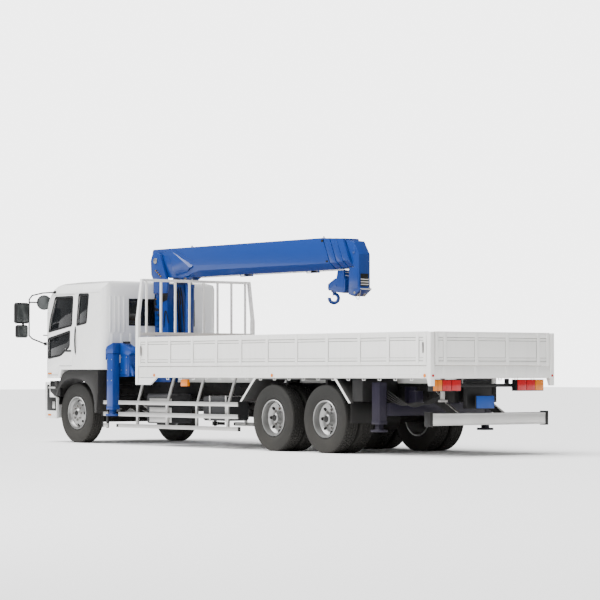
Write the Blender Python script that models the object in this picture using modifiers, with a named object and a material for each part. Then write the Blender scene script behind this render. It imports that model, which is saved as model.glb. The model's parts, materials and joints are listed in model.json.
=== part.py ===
"""Three-axle cab-over truck with a drop-side bed and a five-section telescopic loader crane.

Metres, +Z up. The truck faces -Y, its left side is +X, and the tyres stand on Z = 0.
Places along the truck are given as the distance ahead of the bed's rear face.
"""
import math

import bmesh
import bpy
from mathutils import Matrix, Vector

# Overall sizes
MODEL_NAME = "loader_crane_truck"
OVERALL_LENGTH = 10.86          # bed's rear face to the mirrors' front
REAR_Y = OVERALL_LENGTH / 2
HALF_WIDTH = 1.245              # bed and gates
TOUCH_GAP = 0.0003              # between pieces that rest on each other

# Wheels
WHEEL_SIDES = 24
TYRE_RADIUS = 0.528
AXLE_Z = TYRE_RADIUS * math.cos(math.pi / WHEEL_SIDES)
RIM_RADIUS = 0.286
TYRE_WIDTH = 0.28
TWIN_GAP = 0.03
FRONT_AXLE_AT = 9.553
REAR_AXLES_AT = (3.797, 2.498)
FRONT_TYRE_OUTER_X = 1.155
REAR_TYRE_OUTER_X = 1.225
KINGPIN_X = 0.90

# Ladder frame
RAIL_X = (0.345, 0.425)
RAIL_Z = (0.79, 1.07)
RAIL_AT = (0.40, 10.30)
CAB_PIVOT_AT, CAB_PIVOT_Z = 10.45, 1.02

# Cab
CAB_HALF_WIDTH = 1.225
CAB_WALL = 0.05
CAB_REAR_AT = 8.57
CAB_ROOF_Z = 2.832
DOOR_GAP = 0.007
DOOR_HINGE_X, DOOR_HINGE_AT = 1.228, 10.392

# Bed
SILL_Z = (1.151, 1.335)
FLOOR_Z = (1.255, 1.335)
GATE_Z = (1.342, 1.836)
GATE_THICKNESS = 0.05
RACK_TOP_Z = 2.83

# Crane
SLEW_AT = 8.085
FOOT_PIN_AT, FOOT_PIN_Z = 8.42, 3.19
LIFT_BASE_AT, LIFT_BASE_Z = 7.74, 1.56
LIFT_EYE_AT, LIFT_EYE_Z = 7.72, 2.87
BOOM_MID_Z = 3.19
BOOM_SIZES = ((0.370, 0.410), (0.330, 0.360), (0.290, 0.320), (0.250, 0.280), (0.210, 0.240))
BOOM_WALL = 0.012
BOOM_FOOT_AT = 8.22
BOOM_TIP_AT = 3.83                          # upper edge of the first section's slanted end
TIP_SLANT = 0.459                           # run per rise of the sections' slanted ends
KEEL_DROP, KEEL_HALF = 0.10, 0.095          # sloped lower corners of the boom
COLLAR_SIZES = ((0.362, 0.395), (0.346, 0.375), (0.330, 0.355))
COLLAR_TIP_AT = (3.665, 3.50, 3.34)
COLLAR_LENGTH = 0.15
BLOCK_AT, BLOCK_Z = 3.60, 2.63
HOOK_AT, HOOK_Z, HOOK_RADIUS, HOOK_STEPS = 3.76, 2.428, 0.074, 18
HOOK_TURN = math.radians(51.9)

# Outriggers
FRONT_BEAM_AT = {"left": 8.37, "right": 8.165}
FRONT_BEAM_Z = 1.28
REAR_BEAM_AT, REAR_BEAM_Z = 1.36, 0.68
FRONT_LEG_X, REAR_LEG_X = 1.165, 1.075

COLOURS = {
    "white_paint": ((0.80, 0.79, 0.75), 0.35, 0.0),
    "crane_blue": ((0.02, 0.10, 0.40), 0.35, 0.0),
    "dark_violet": ((0.03, 0.02, 0.06), 0.45, 0.0),
    "chassis_black": ((0.015, 0.015, 0.015), 0.55, 0.0),
    "fender_grey": ((0.035, 0.035, 0.033), 0.6, 0.0),
    "rubber": ((0.04, 0.04, 0.038), 0.85, 0.0),
    "silver_paint": ((0.55, 0.55, 0.54), 0.35, 0.6),
    "aluminium": ((0.65, 0.64, 0.62), 0.35, 1.0),
    "glass": ((0.02, 0.025, 0.03), 0.08, 0.0),
    "trim_grey": ((0.08, 0.08, 0.085), 0.7, 0.0),
    "lamp_red": ((0.45, 0.01, 0.02), 0.25, 0.0),
    "steel": ((0.5, 0.5, 0.5), 0.3, 1.0),
}

for leftover in list(bpy.data.objects):
    bpy.data.objects.remove(leftover)

parts_collection = bpy.data.collections.new(MODEL_NAME)
bpy.context.scene.collection.children.link(parts_collection)


# ---------------------------------------------------------------- helpers
def y_at(ahead):
    """Y of a place given as its distance ahead of the bed's rear face."""
    return REAR_Y - ahead


def link(name, mesh):
    """Put a mesh in the scene as an object."""
    obj = bpy.data.objects.new(name, mesh)
    parts_collection.objects.link(obj)
    return obj


def from_bmesh(name, bm):
    """Turn a bmesh into an object with its faces pointing out."""
    bmesh.ops.recalc_face_normals(bm, faces=bm.faces)
    mesh = bpy.data.meshes.new(name)
    bm.to_mesh(mesh)
    bm.free()
    return link(name, mesh)


def evaluated_mesh(obj):
    """The object's mesh with its modifiers applied."""
    bpy.context.view_layer.update()
    graph = bpy.context.evaluated_depsgraph_get()
    return bpy.data.meshes.new_from_object(obj.evaluated_get(graph))


def apply_modifiers(obj):
    """Bake the modifiers of a mesh object into its mesh."""
    mesh = evaluated_mesh(obj)
    obj.modifiers.clear()
    obj.data = mesh
    return obj


def box(low, high):
    """Box between two corners in row coordinates."""
    bm = bmesh.new()
    bmesh.ops.create_cube(bm, size=1.0)
    size = Vector(high) - Vector(low)
    middle = (Vector(high) + Vector(low)) / 2
    bmesh.ops.scale(bm, vec=size, verts=bm.verts)
    bmesh.ops.translate(bm, vec=middle, verts=bm.verts)
    return from_bmesh("box", bm)


def block(x, ahead, z):
    """Box from its ranges across, along and up."""
    return box((min(x), y_at(max(ahead)), min(z)), (max(x), y_at(min(ahead)), max(z)))


def rounded(obj, width, segments=2):
    """Bevel all edges of a piece."""
    modifier = obj.modifiers.new("round", "BEVEL")
    modifier.width = width
    modifier.segments = segments
    modifier.limit_method = "ANGLE"
    modifier.angle_limit = math.radians(40)
    return apply_modifiers(obj)


def cylinder(start, end, radius, sides=16, end_radius=None):
    """Cylinder or cone between two points."""
    start, end = Vector(start), Vector(end)
    axis = end - start
    bm = bmesh.new()
    bmesh.ops.create_cone(bm, cap_ends=True, segments=sides, radius1=radius,
                          radius2=radius if end_radius is None else end_radius, depth=axis.length)
    turn = axis.to_track_quat("Z", "Y").to_matrix().to_4x4()
    bmesh.ops.transform(bm, matrix=Matrix.Translation((start + end) / 2) @ turn, verts=bm.verts)
    return from_bmesh("cylinder", bm)


def inset(points, distance):
    """Closed outline moved inwards by a distance along every side."""
    area = sum(u0 * v1 - u1 * v0 for (u0, v0), (u1, v1) in zip(points, points[1:] + points[:1]))
    turn = 1 if area > 0 else -1
    moved = []
    for before, here, after in zip(points[-1:] + points[:-1], points, points[1:] + points[:1]):
        first, second = (Vector(here) - Vector(before)).normalized(), (Vector(after) - Vector(here)).normalized()
        normals = Vector((-first.y, first.x)) + Vector((-second.y, second.x))
        scale = 2 * distance * turn / normals.length_squared
        moved.append(tuple(Vector(here) + normals * scale))
    return moved


def outline_solid(points, thickness, placing):
    """Flat outline extruded by a thickness; placing turns its plane into row axes."""
    curve = bpy.data.curves.new("outline", "CURVE")
    curve.dimensions = "2D"
    curve.fill_mode = "BOTH"
    curve.extrude = thickness / 2
    spline = curve.splines.new("POLY")
    spline.points.add(len(points) - 1)
    for point, (u, v) in zip(spline.points, points):
        point.co = (u, v, 0.0, 1.0)
    spline.use_cyclic_u = True
    obj = link("outline", curve)
    mesh = evaluated_mesh(obj)
    bpy.data.objects.remove(obj)
    bm = bmesh.new()
    bm.from_mesh(mesh)
    bmesh.ops.remove_doubles(bm, verts=bm.verts, dist=0.00001)
    bmesh.ops.transform(bm, matrix=placing, verts=bm.verts)
    return from_bmesh("outline", bm)


def side_solid(points, x):
    """Side outline of (ahead, z) points, extruded across from x[0] to x[1]."""
    placing = Matrix(((0, 0, 1, (x[0] + x[1]) / 2), (1, 0, 0, 0), (0, 1, 0, 0), (0, 0, 0, 1)))
    return outline_solid([(y_at(ahead), z) for ahead, z in points], abs(x[1] - x[0]), placing)


def plan_solid(points, z):
    """Plan outline of (x, ahead) points, extruded from z[0] to z[1]."""
    placing = Matrix.Translation((0, 0, (z[0] + z[1]) / 2))
    return outline_solid([(x, y_at(ahead)) for x, ahead in points], abs(z[1] - z[0]), placing)


def front_solid(points, ahead):
    """Outline of (x, z) points seen from the front, extruded along the truck."""
    placing = Matrix(((1, 0, 0, 0), (0, 0, 1, y_at((ahead[0] + ahead[1]) / 2)), (0, 1, 0, 0), (0, 0, 0, 1)))
    return outline_solid(points, abs(ahead[1] - ahead[0]), placing)


def tube(points, radius, resolution=1):
    """Bent tube along points in row coordinates."""
    curve = bpy.data.curves.new("tube", "CURVE")
    curve.dimensions = "3D"
    curve.bevel_depth = radius
    curve.bevel_resolution = resolution
    curve.use_fill_caps = True
    spline = curve.splines.new("POLY")
    spline.points.add(len(points) - 1)
    for point, place in zip(spline.points, points):
        point.co = (*place, 1.0)
    obj = link("tube", curve)
    mesh = evaluated_mesh(obj)
    bpy.data.objects.remove(obj)
    bm = bmesh.new()
    bm.from_mesh(mesh)
    bmesh.ops.remove_doubles(bm, verts=bm.verts, dist=0.00001)
    return from_bmesh("tube", bm)


def fold(base, others, operation):
    """Boolean the other pieces into the base piece, one after the other."""
    for other in others:
        modifier = base.modifiers.new("fold", "BOOLEAN")
        modifier.operation = operation
        modifier.solver = "EXACT"
        modifier.object = other
        apply_modifiers(base)
        bpy.data.objects.remove(other)
    return base


def union(*pieces):
    """Join overlapping pieces into one body."""
    return fold(pieces[0], pieces[1:], "UNION")


def cut(base, *cutters):
    """Take the cutters out of the base."""
    return fold(base, cutters, "DIFFERENCE")


def common(base, *others):
    """Keep what all the pieces share."""
    return fold(base, others, "INTERSECT")


def mirrored(obj):
    """Copy of a piece on the truck's other side."""
    bm = bmesh.new()
    bm.from_mesh(obj.data)
    bmesh.ops.scale(bm, vec=(-1, 1, 1), verts=bm.verts)
    return from_bmesh(obj.name, bm)


def turned(profile, centre, sides=WHEEL_SIDES):
    """Solid turned about the X axis from a closed outline of (x, radius) points."""
    bm = bmesh.new()
    start = [bm.verts.new((x, 0.0, -radius)) for x, radius in profile]
    for i in range(len(start)):
        bm.edges.new((start[i - 1], start[i]))
    bmesh.ops.transform(bm, matrix=Matrix.Rotation(math.pi / sides, 4, "X"), verts=bm.verts)
    obj = from_bmesh("turned", bm)
    screw = obj.modifiers.new("turn", "SCREW")
    screw.axis = "X"
    screw.angle = 2 * math.pi
    screw.steps = screw.render_steps = sides
    screw.use_merge_vertices = True
    screw.merge_threshold = 0.00001
    obj = apply_modifiers(obj)
    obj.data.transform(Matrix.Translation(centre))
    closed = bmesh.new()
    closed.from_mesh(obj.data)
    bpy.data.objects.remove(obj)
    bmesh.ops.recalc_face_normals(closed, faces=closed.faces)
    return from_bmesh("turned", closed)


def material(slot):
    """The material of a colour slot, made once."""
    found = bpy.data.materials.get(slot)
    if found:
        return found
    colour, roughness, metallic = COLOURS[slot]
    made = bpy.data.materials.new(slot)
    made.use_nodes = True
    shader = made.node_tree.nodes["Principled BSDF"]
    shader.inputs["Base Color"].default_value = (*colour, 1.0)
    shader.inputs["Roughness"].default_value = roughness
    shader.inputs["Metallic"].default_value = metallic
    return made


def place(name, obj, slot, pivot=(0.0, 0.0, 0.0)):
    """Name a finished piece, give it its material and put its origin on its pivot."""
    pivot = Vector(pivot)
    obj.data.transform(Matrix.Translation(-pivot))
    obj.location = pivot
    obj.name = name
    obj.data.name = name
    obj.data.materials.clear()
    obj.data.materials.append(material(slot))
    obj.data.shade_smooth()
    obj.data.set_sharp_from_angle(angle=math.radians(35))
    return obj


# ---------------------------------------------------------------- chassis
def chassis_frame():
    pieces = [block((-RAIL_X[1], -RAIL_X[0]), RAIL_AT, RAIL_Z)]
    for ahead in (0.46, 1.75, 3.15, 4.60, 5.80, 7.20, 8.60, 10.12):
        pieces.append(block((-RAIL_X[1] + 0.02, RAIL_X[1] - 0.02), (ahead, ahead + 0.10), (0.83, 1.03)))
    pieces.append(block(RAIL_X, RAIL_AT, RAIL_Z))
    lug = [(10.24, 0.84), (10.29, 0.84), (10.50, 0.98), (10.50, 1.06), (10.42, 1.065), (10.24, 1.0)]
    for side in (-1, 1):
        pieces.append(side_solid(lug, (side * 0.355, side * 0.415)))
    pivot_y = y_at(CAB_PIVOT_AT)
    pieces.append(cylinder((-0.48, pivot_y, CAB_PIVOT_Z), (0.48, pivot_y, CAB_PIVOT_Z), 0.03, 12))
    place("chassis_frame", union(*pieces), "chassis_black")


def engine():
    body = block((-0.33, 0.33), (8.95, 9.90), (0.60, 1.20))
    gearbox = block((-0.20, 0.20), (8.05, 8.97), (0.56, 0.82))
    shaft = cylinder((0, y_at(8.07), 0.72), (0, y_at(4.12), 0.62), 0.06, 10)
    place("engine", union(body, gearbox, shaft), "chassis_black")


def front_axle():
    y = y_at(FRONT_AXLE_AT)
    beam = block((-0.60, 0.60), (FRONT_AXLE_AT - 0.055, FRONT_AXLE_AT + 0.055), (0.36, 0.48))
    pieces = [beam]
    for side in (-1, 1):
        pieces.append(cylinder((side * 0.57, y, 0.43), (side * (KINGPIN_X - 0.03), y, 0.50), 0.055, 10))
        pieces.append(cylinder((side * KINGPIN_X, y, 0.42), (side * KINGPIN_X, y, 0.62), 0.045, 12))
        leaf = [(8.85, 0.76), (9.30, 0.55), (9.553, 0.47), (9.81, 0.55), (10.25, 0.76),
                (10.25, 0.70), (9.83, 0.50), (9.553, 0.42), (9.28, 0.50), (8.85, 0.70)]
        pieces.append(side_solid(leaf, (side * 0.35, side * 0.42)))
    place("front_axle", union(*pieces), "chassis_black")


def rear_bogie():
    front_y, rear_y = (y_at(ahead) for ahead in REAR_AXLES_AT)
    pieces = []
    for y in (front_y, rear_y):
        pieces.append(cylinder((-1.02, y, AXLE_Z), (1.02, y, AXLE_Z), 0.065, 12))
        pieces.append(cylinder((-0.14, y, AXLE_Z), (0.14, y, AXLE_Z), 0.21, 16))
        pieces.append(cylinder((0, y - 0.27, AXLE_Z + 0.04), (0, y, AXLE_Z + 0.02), 0.10, 12))
    middle = sum(REAR_AXLES_AT) / 2
    for side in (-1, 1):
        spring = [(middle - 0.68, 0.50), (middle, 0.72), (middle + 0.68, 0.50),
                  (middle + 0.68, 0.57), (middle + 0.12, 0.785), (middle - 0.12, 0.785), (middle - 0.68, 0.57)]
        pieces.append(side_solid(spring, (side * 0.46, side * 0.56)))
        pieces.append(block((side * 0.43, side * 0.52), (middle - 0.08, middle + 0.08), (0.66, 0.98)))
    pieces.append(cylinder((0, rear_y - 0.2, AXLE_Z + 0.03), (0, front_y + 0.1, AXLE_Z + 0.03), 0.045, 10))
    place("rear_bogie", union(*pieces), "chassis_black")


def front_bumper():
    outer = [(-1.225, 10.08), (-1.225, 10.40), (-1.17, 10.54), (-0.95, 10.60), (0.0, 10.63),
             (0.95, 10.60), (1.17, 10.54), (1.225, 10.40), (1.225, 10.08)]
    inner = [(-1.165, 9.90), (-1.165, 10.39), (-1.12, 10.49), (-0.93, 10.54), (0.0, 10.57),
             (0.93, 10.54), (1.12, 10.49), (1.165, 10.39), (1.165, 9.90)]
    shell = cut(plan_solid(outer, (0.42, 1.065)), plan_solid(inner, (0.40, 1.10)))
    side_cut = [(9.90, 0.80), (10.13, 0.80), (10.30, 0.90), (10.30, 1.20), (9.90, 1.20)]
    shell = cut(shell, side_solid(side_cut, (-1.3, -1.0)), side_solid(side_cut, (1.0, 1.3)))
    stays = [block((side * 0.428, side * 0.468), (10.14, 10.57), (0.60, 0.94)) for side in (-1, 1)]
    place("front_bumper", union(shell, *stays), "white_paint")


def front_fender(side):
    outline = [(8.757, 1.262), (8.775, 1.277), (9.48, 1.280), (9.70, 1.272), (9.83, 1.245), (9.905, 1.20),
               (9.96, 1.12), (10.04, 0.98), (10.11, 0.85), (10.11, 0.812), (10.07, 0.812), (10.01, 0.93),
               (9.93, 1.02), (9.83, 1.085), (9.70, 1.12), (9.55, 1.135), (9.38, 1.125), (9.22, 1.09),
               (9.08, 1.03), (8.98, 0.945), (8.91, 0.84), (8.875, 0.72), (8.86, 0.54), (8.80, 0.54), (8.757, 0.90)]
    mudguard = side_solid(outline, (0.80, 1.222))
    step_well = block((0.86, 1.222), (10.05, 10.295), (0.93, 1.09))
    foot_hole = block((0.92, 1.3), (10.15, 10.265), (0.985, 1.075))
    hanger = block((0.428, 0.84), (8.90, 8.98), (0.95, 1.03))
    front_hanger = block((0.428, 0.90), (10.06, 10.13), (0.95, 1.03))
    piece = union(mudguard, cut(step_well, foot_hole), hanger, front_hanger)
    if side == "right":
        twin = mirrored(piece)
        bpy.data.objects.remove(piece)
        piece = twin
    place(f"front_fender_{side}", piece, "fender_grey")


def fuel_tank():
    tank = rounded(block((-1.12, -0.60), (5.05, 6.55), (0.34, 0.86)), 0.08)
    straps = [block((-0.62, -0.428), (ahead, ahead + 0.08), (0.62, 0.84)) for ahead in (5.35, 6.15)]
    place("fuel_tank", union(tank, *straps), "aluminium")


def chassis_boxes():
    silencer = rounded(block((0.64, 1.12), (6.75, 7.43), (0.38, 0.875)), 0.03, 1)
    battery = rounded(block((0.64, 1.12), (5.15, 5.81), (0.45, 0.85)), 0.03, 1)
    rail = block((0.60, 0.66), (5.20, 7.38), (0.62, 0.70))
    arms = [block((0.428, 0.64), (ahead, ahead + 0.08), (0.80, 0.84)) for ahead in (5.3, 6.95)]
    place("battery_and_silencer", union(silencer, battery, rail, *arms), "trim_grey")


def side_guard(side):
    front = 8.16 if side == "left" else 7.98
    pieces = [block((1.165, 1.195), (4.72, front), z) for z in ((0.69, 0.757), (0.49, 0.56), (0.295, 0.36))]
    for ahead in (5.03, 5.89, 6.74, 7.61):
        pieces.append(block((1.135, 1.169), (ahead, ahead + 0.05), (0.31, 0.745)))
        foot = [(ahead, 0.70), (ahead + 0.05, 0.70), (ahead - 0.15, 1.148), (ahead - 0.20, 1.148)]
        pieces.append(side_solid(foot, (1.137, 1.167)))
    piece = union(*pieces)
    if side == "right":
        twin = mirrored(piece)
        bpy.data.objects.remove(piece)
        piece = twin
    place(f"side_guard_{side}", piece, "aluminium")


def rear_mudguards():
    pieces = []
    for side in (-1, 1):
        sheet = [(4.585, 0.775), (4.20, 1.125), (2.20, 1.125), (1.86, 0.775), (1.82, 0.775),
                 (2.18, 1.140), (4.22, 1.140), (4.625, 0.775)]
        pieces.append(side_solid(sheet, (side * 0.63, side * 1.225)))
        for ahead in (3.10, 4.10):
            pieces.append(block((side * 0.428, side * 0.66), (ahead, ahead + 0.06), (1.02, 1.138)))
    bar = block((-0.64, 0.64), (3.11, 3.15), (1.085, 1.125))
    pieces.insert(1, bar)
    place("rear_mudguards", union(*pieces), "fender_grey")


# ---------------------------------------------------------------- bed
def bed_floor():
    sill_x = HALF_WIDTH - 0.012
    deck = block((-sill_x, sill_x), (0.02, 7.49), FLOOR_Z)
    pieces = [deck]
    for side in (-1, 1):
        pieces.append(block((side * (sill_x - 0.05), side * sill_x), (0.02, 7.49), (SILL_Z[0], FLOOR_Z[0] + 0.02)))
        pieces.append(block((side * RAIL_X[0], side * RAIL_X[1]), (0.40, 7.48), (RAIL_Z[1] + TOUCH_GAP, 1.27)))
    for k in range(9):
        ahead = 0.30 + 0.86 * k
        pieces.append(block((-sill_x + 0.02, sill_x - 0.02), (ahead, ahead + 0.06), (1.165, 1.27)))
    pieces.append(block((-sill_x, sill_x), (0.02, 0.07), (SILL_Z[0], FLOOR_Z[0] + 0.02)))
    for side in (-1, 1):
        post = [(0.001, 1.04), (0.055, 1.04), (0.095, 1.15), (0.095, 1.83), (0.001, 1.83)]
        pieces.append(side_solid(post, (side * 1.166, side * HALF_WIDTH)))
    mudguard_notch = block((-0.5, 0.5), (3.10, 3.16), (1.05, 1.13))
    place("bed_floor", cut(union(*pieces), mudguard_notch), "white_paint")


def guard_rack():
    pieces = [block((-HALF_WIDTH, HALF_WIDTH), (7.505, 7.565), (1.342, 1.836))]
    for side in (-1, 1):
        pieces.append(block((side * (HALF_WIDTH - 0.055), side * HALF_WIDTH), (7.50, 7.57), (1.03, 2.16)))
        bracket = [(7.57, 1.03), (7.16, 1.03), (6.98, 1.146), (7.57, 1.146)]
        pieces.append(side_solid(bracket, (side * 1.19, side * 1.23)))
        lean = [(HALF_WIDTH, 2.14), (HALF_WIDTH - 0.05, 2.14), (1.112, RACK_TOP_Z), (1.155, RACK_TOP_Z)]
        pieces.append(front_solid([(side * x, z) for x, z in lean], (7.505, 7.565)))
    pieces.append(block((-1.155, 1.155), (7.51, 7.56), (RACK_TOP_Z - 0.045, RACK_TOP_Z)))
    pieces.append(block((-1.22, 1.22), (7.515, 7.555), (1.866, 1.92)))
    for k in range(8):
        x = -1.055 + 0.30 * k
        pieces.append(block((x - 0.016, x + 0.016), (7.52, 7.55), (1.88, RACK_TOP_Z - 0.02)))
    place("guard_rack", union(*pieces), "white_paint")


def side_gate(side):
    """Left gate, hinged along its lower outer edge."""
    inner_x, outer_x = HALF_WIDTH - GATE_THICKNESS, HALF_WIDTH
    low, high = GATE_Z
    front, rear = 7.495, 0.10
    pieces = [block((inner_x, outer_x - 0.012), (rear, front), (low, high))]
    for ahead in (7.46, 7.25, 6.584, 5.936, 5.264, 4.61, 3.915, 3.165, 2.408, 1.638, 0.965, 0.302, 0.135):
        pieces.append(block((outer_x - 0.02, outer_x), (ahead - 0.03, ahead + 0.03), (low + 0.004, high - 0.004)))
    pieces.append(block((outer_x - 0.02, outer_x - 0.004), (rear + 0.001, front - 0.001), (1.756, high - 0.001)))
    piece = union(*pieces)
    if side == "right":
        twin = mirrored(piece)
        bpy.data.objects.remove(piece)
        piece = twin
    sign = 1 if side == "left" else -1
    place(f"side_gate_{side}", piece, "white_paint", (sign * HALF_WIDTH, 0.0, GATE_Z[0] - 0.006))


def tailgate():
    low, high = GATE_Z
    half = 1.15
    pieces = [block((-half, half), (0.012, 0.05), (low, high))]
    for x in (1.12, 0.958, 0.338, -0.284, -0.92, -1.12):
        pieces.append(block((x - 0.03, x + 0.03), (0.0, 0.02), (low + 0.004, high - 0.004)))
    pieces.append(block((-half + 0.001, half - 0.001), (0.004, 0.02), (1.756, high - 0.001)))
    place("tailgate", union(*pieces), "white_paint", (0.0, REAR_Y, GATE_Z[0] - 0.006))


def rear_bumper():
    bar = rounded(block((-1.17, 1.17), (0.08, 0.20), (0.46, 0.64)), 0.01, 1)
    pieces = [bar]
    for side in (-1, 1):
        arm = [(0.19, 0.50), (0.19, 0.60), (0.55, 0.79), (0.80, 0.99), (0.92, 0.99), (0.90, 0.85), (0.62, 0.70)]
        pieces.append(side_solid(arm, (side * 0.43, side * 0.48)))
    place("rear_bumper", union(*pieces), "aluminium")


def rear_lamps():
    pieces = [block((-0.96, 0.96), (0.20, 0.235), (1.02, 1.07))]
    for side in (-1, 1):
        pieces.append(block((side * 0.565, side * 1.115), (0.10, 0.215), (0.96, 1.133)))
        pieces.append(block((side * 0.45, side * 0.51), (0.21, 0.26), (1.03, 1.145)))
    place("rear_lamps", union(*pieces), "lamp_red")


# ---------------------------------------------------------------- cab
CAB_OUTLINE = [(10.60, 1.22), (10.595, 1.40), (10.55, 1.93), (10.43, 2.34), (10.225, 2.68), (10.16, 2.765),
               (10.05, CAB_ROOF_Z - 0.02), (9.60, CAB_ROOF_Z), (CAB_REAR_AT + 0.09, CAB_ROOF_Z),
               (CAB_REAR_AT + 0.02, CAB_ROOF_Z - 0.03), (CAB_REAR_AT, CAB_ROOF_Z - 0.10), (CAB_REAR_AT, 1.29),
               (9.93, 1.29), (9.97, 1.135), (10.45, 1.135)]
DOOR_OUTLINE = [(10.40, 1.19), (10.40, 1.93), (10.345, 2.25), (10.17, 2.615), (9.50, 2.615), (9.50, 1.75),
                (9.58, 1.35), (9.997, 1.35), (10.037, 1.19)]
UPPER_DOOR_WINDOW = [(10.325, 1.975), (10.27, 2.22), (10.115, 2.565), (9.56, 2.565), (9.60, 2.075)]
LOWER_DOOR_WINDOW = [(10.35, 1.50), (10.35, 1.83), (9.66, 1.955), (9.675, 1.70), (9.95, 1.55)]
QUARTER_WINDOW = [(9.35, 2.60), (9.06, 2.595), (9.13, 2.115), (9.42, 2.075)]


def cab_plan():
    """Plan outline of the cab, with a bowed front and rounded corners."""
    half = CAB_HALF_WIDTH
    left = [(half - 0.16, CAB_REAR_AT), (half - 0.09, CAB_REAR_AT + 0.018), (half - 0.04, CAB_REAR_AT + 0.055),
            (half - 0.012, CAB_REAR_AT + 0.105), (half, CAB_REAR_AT + 0.17), (half, 10.34), (half - 0.03, 10.44), (half - 0.10, 10.51), (0.90, 10.56), (0.45, 10.59), (0.0, 10.60)]
    return left + [(-x, ahead) for x, ahead in reversed(left) if x > 0]


def cab_section():
    """Outline of the cab seen from the front, as (x, z) points."""
    half = CAB_HALF_WIDTH
    left = [(half, 1.0), (half, 2.60), (half - 0.02, 2.70), (half - 0.10, CAB_ROOF_Z - 0.04),
            (half - 0.22, CAB_ROOF_Z), (0.3, CAB_ROOF_Z + 0.1)]
    return left + [(-x, z) for x, z in reversed(left)]


def cab_body(depth):
    """Solid inside of the cab's surface, pulled in by a depth."""
    reach = CAB_HALF_WIDTH + 0.05
    body = side_solid(inset(CAB_OUTLINE, depth), (-reach, reach))
    body = common(body, plan_solid(inset(cab_plan(), depth), (1.0, 3.0)))
    return common(body, front_solid(inset(cab_section(), depth), (7.5, 11.5)))


def cab_shell():
    shell = cut(cab_body(0.0), cab_body(CAB_WALL))
    for side in (-1, 1):
        span = (side * 1.12, side * 1.4)
        shell = cut(shell, side_solid(DOOR_OUTLINE, span), side_solid(QUARTER_WINDOW, span))
    windshield_hole = block((-1.08, 1.08), (10.05, 10.75), (1.80, 2.60))
    rear_window_hole = block((-0.70, 0.70), (8.5, 8.7), (2.06, 2.52))
    shell = cut(shell, windshield_hole, rear_window_hole)
    lugs = [block((side * 0.27, side * 0.34), (10.41, 10.49), (0.975, 1.20)) for side in (-1, 1)]
    shell = union(shell, *lugs)
    pivot_y = y_at(CAB_PIVOT_AT)
    bore = cylinder((-0.5, pivot_y, CAB_PIVOT_Z), (0.5, pivot_y, CAB_PIVOT_Z), 0.034, 12)
    place("cab_shell", cut(shell, bore), "white_paint", (0, pivot_y, CAB_PIVOT_Z))


def windshield():
    glass = cut(cab_body(0.012), cab_body(0.018))
    pane = block((-1.076, 1.076), (10.05, 10.75), (1.804, 2.596))
    place("windshield", common(glass, pane), "glass", (0, y_at(CAB_PIVOT_AT), CAB_PIVOT_Z))


def cab_interior():
    floor = block((-1.12, 1.12), (8.66, 9.92), (1.345, 1.38))
    dash = rounded(block((-1.12, 1.12), (10.12, 10.36), (1.60, 1.78)), 0.03, 1)
    dash_leg = block((-0.18, 0.18), (9.86, 10.20), (1.36, 1.64))
    bunk = rounded(block((-1.12, 1.12), (8.66, 9.02), (1.37, 1.72)), 0.03, 1)
    pieces = [floor, dash, dash_leg, bunk]
    for x in (-0.60, 0.60):
        pieces.append(rounded(block((x - 0.26, x + 0.26), (9.12, 9.62), (1.36, 1.78)), 0.04, 1))
        pieces.append(rounded(block((x - 0.24, x + 0.24), (9.06, 9.20), (1.70, 2.42)), 0.04, 1))
    wheel_centre = Vector((-0.60, y_at(9.92), 1.92))
    tilt = Vector((0, 0.45, 0.90)).normalized()
    pieces.append(cylinder((-0.60, y_at(10.20), 1.72), wheel_centre + tilt * 0.005, 0.03, 8))
    pieces.append(cylinder(wheel_centre - tilt * 0.015, wheel_centre + tilt * 0.015, 0.22, 16))
    place("cab_interior", union(*pieces), "trim_grey", (0, y_at(CAB_PIVOT_AT), CAB_PIVOT_Z))


def door(side):
    sign = 1 if side == "left" else -1
    span = (sign * 1.12, sign * 1.4)
    leaf = cut(cab_body(0.0), cab_body(CAB_WALL))
    leaf = common(leaf, side_solid(inset(DOOR_OUTLINE, DOOR_GAP), span))
    leaf = cut(leaf, side_solid(UPPER_DOOR_WINDOW, span), side_solid(LOWER_DOOR_WINDOW, span))
    place(f"door_{side}", leaf, "white_paint", (sign * DOOR_HINGE_X, y_at(DOOR_HINGE_AT), 1.9))


def mirror(side):
    stay = [(1.232, 10.14, 2.665), (1.28, 10.46, 2.66), (1.34, 10.72, 2.62), (1.352, 10.80, 2.55),
            (1.352, 10.80, 1.90), (1.33, 10.72, 1.84), (1.222, 10.475, 1.75)]
    pieces = [tube([(x, y_at(ahead), z) for x, ahead, z in stay], 0.014)]
    pieces.append(rounded(block((1.36, 1.655), (10.76, 10.86), (2.115, 2.49)), 0.03, 1))
    pieces.append(rounded(block((1.38, 1.63), (10.765, 10.855), (1.86, 2.09)), 0.03, 1))
    pieces.append(block((1.475, 1.505), (10.77, 10.80), (2.07, 2.13)))
    facing = Vector((0.62, 0.785, 0)).normalized()
    centre = Vector((1.245, y_at(10.47), 2.49))
    pieces.append(cylinder(centre - facing * 0.03, centre, 0.135, 16))
    pieces.append(cylinder(centre - facing * 0.02, (1.352, y_at(10.80), 2.50), 0.013, 8))
    piece = union(*pieces)
    if side == "right":
        twin = mirrored(piece)
        bpy.data.objects.remove(piece)
        piece = twin
    place(f"mirror_{side}", piece, "trim_grey", (0, y_at(CAB_PIVOT_AT), CAB_PIVOT_Z))


# ---------------------------------------------------------------- wheels
def tyre_profile(outer, inner):
    """Section of a tyre between two X planes, as (x, radius) points."""
    lip = RIM_RADIUS + 0.006
    return [(outer - 0.035, lip), (outer, 0.40), (outer - 0.03, TYRE_RADIUS),
            (inner + 0.03, TYRE_RADIUS), (inner, 0.40), (inner + 0.035, lip)]


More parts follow.
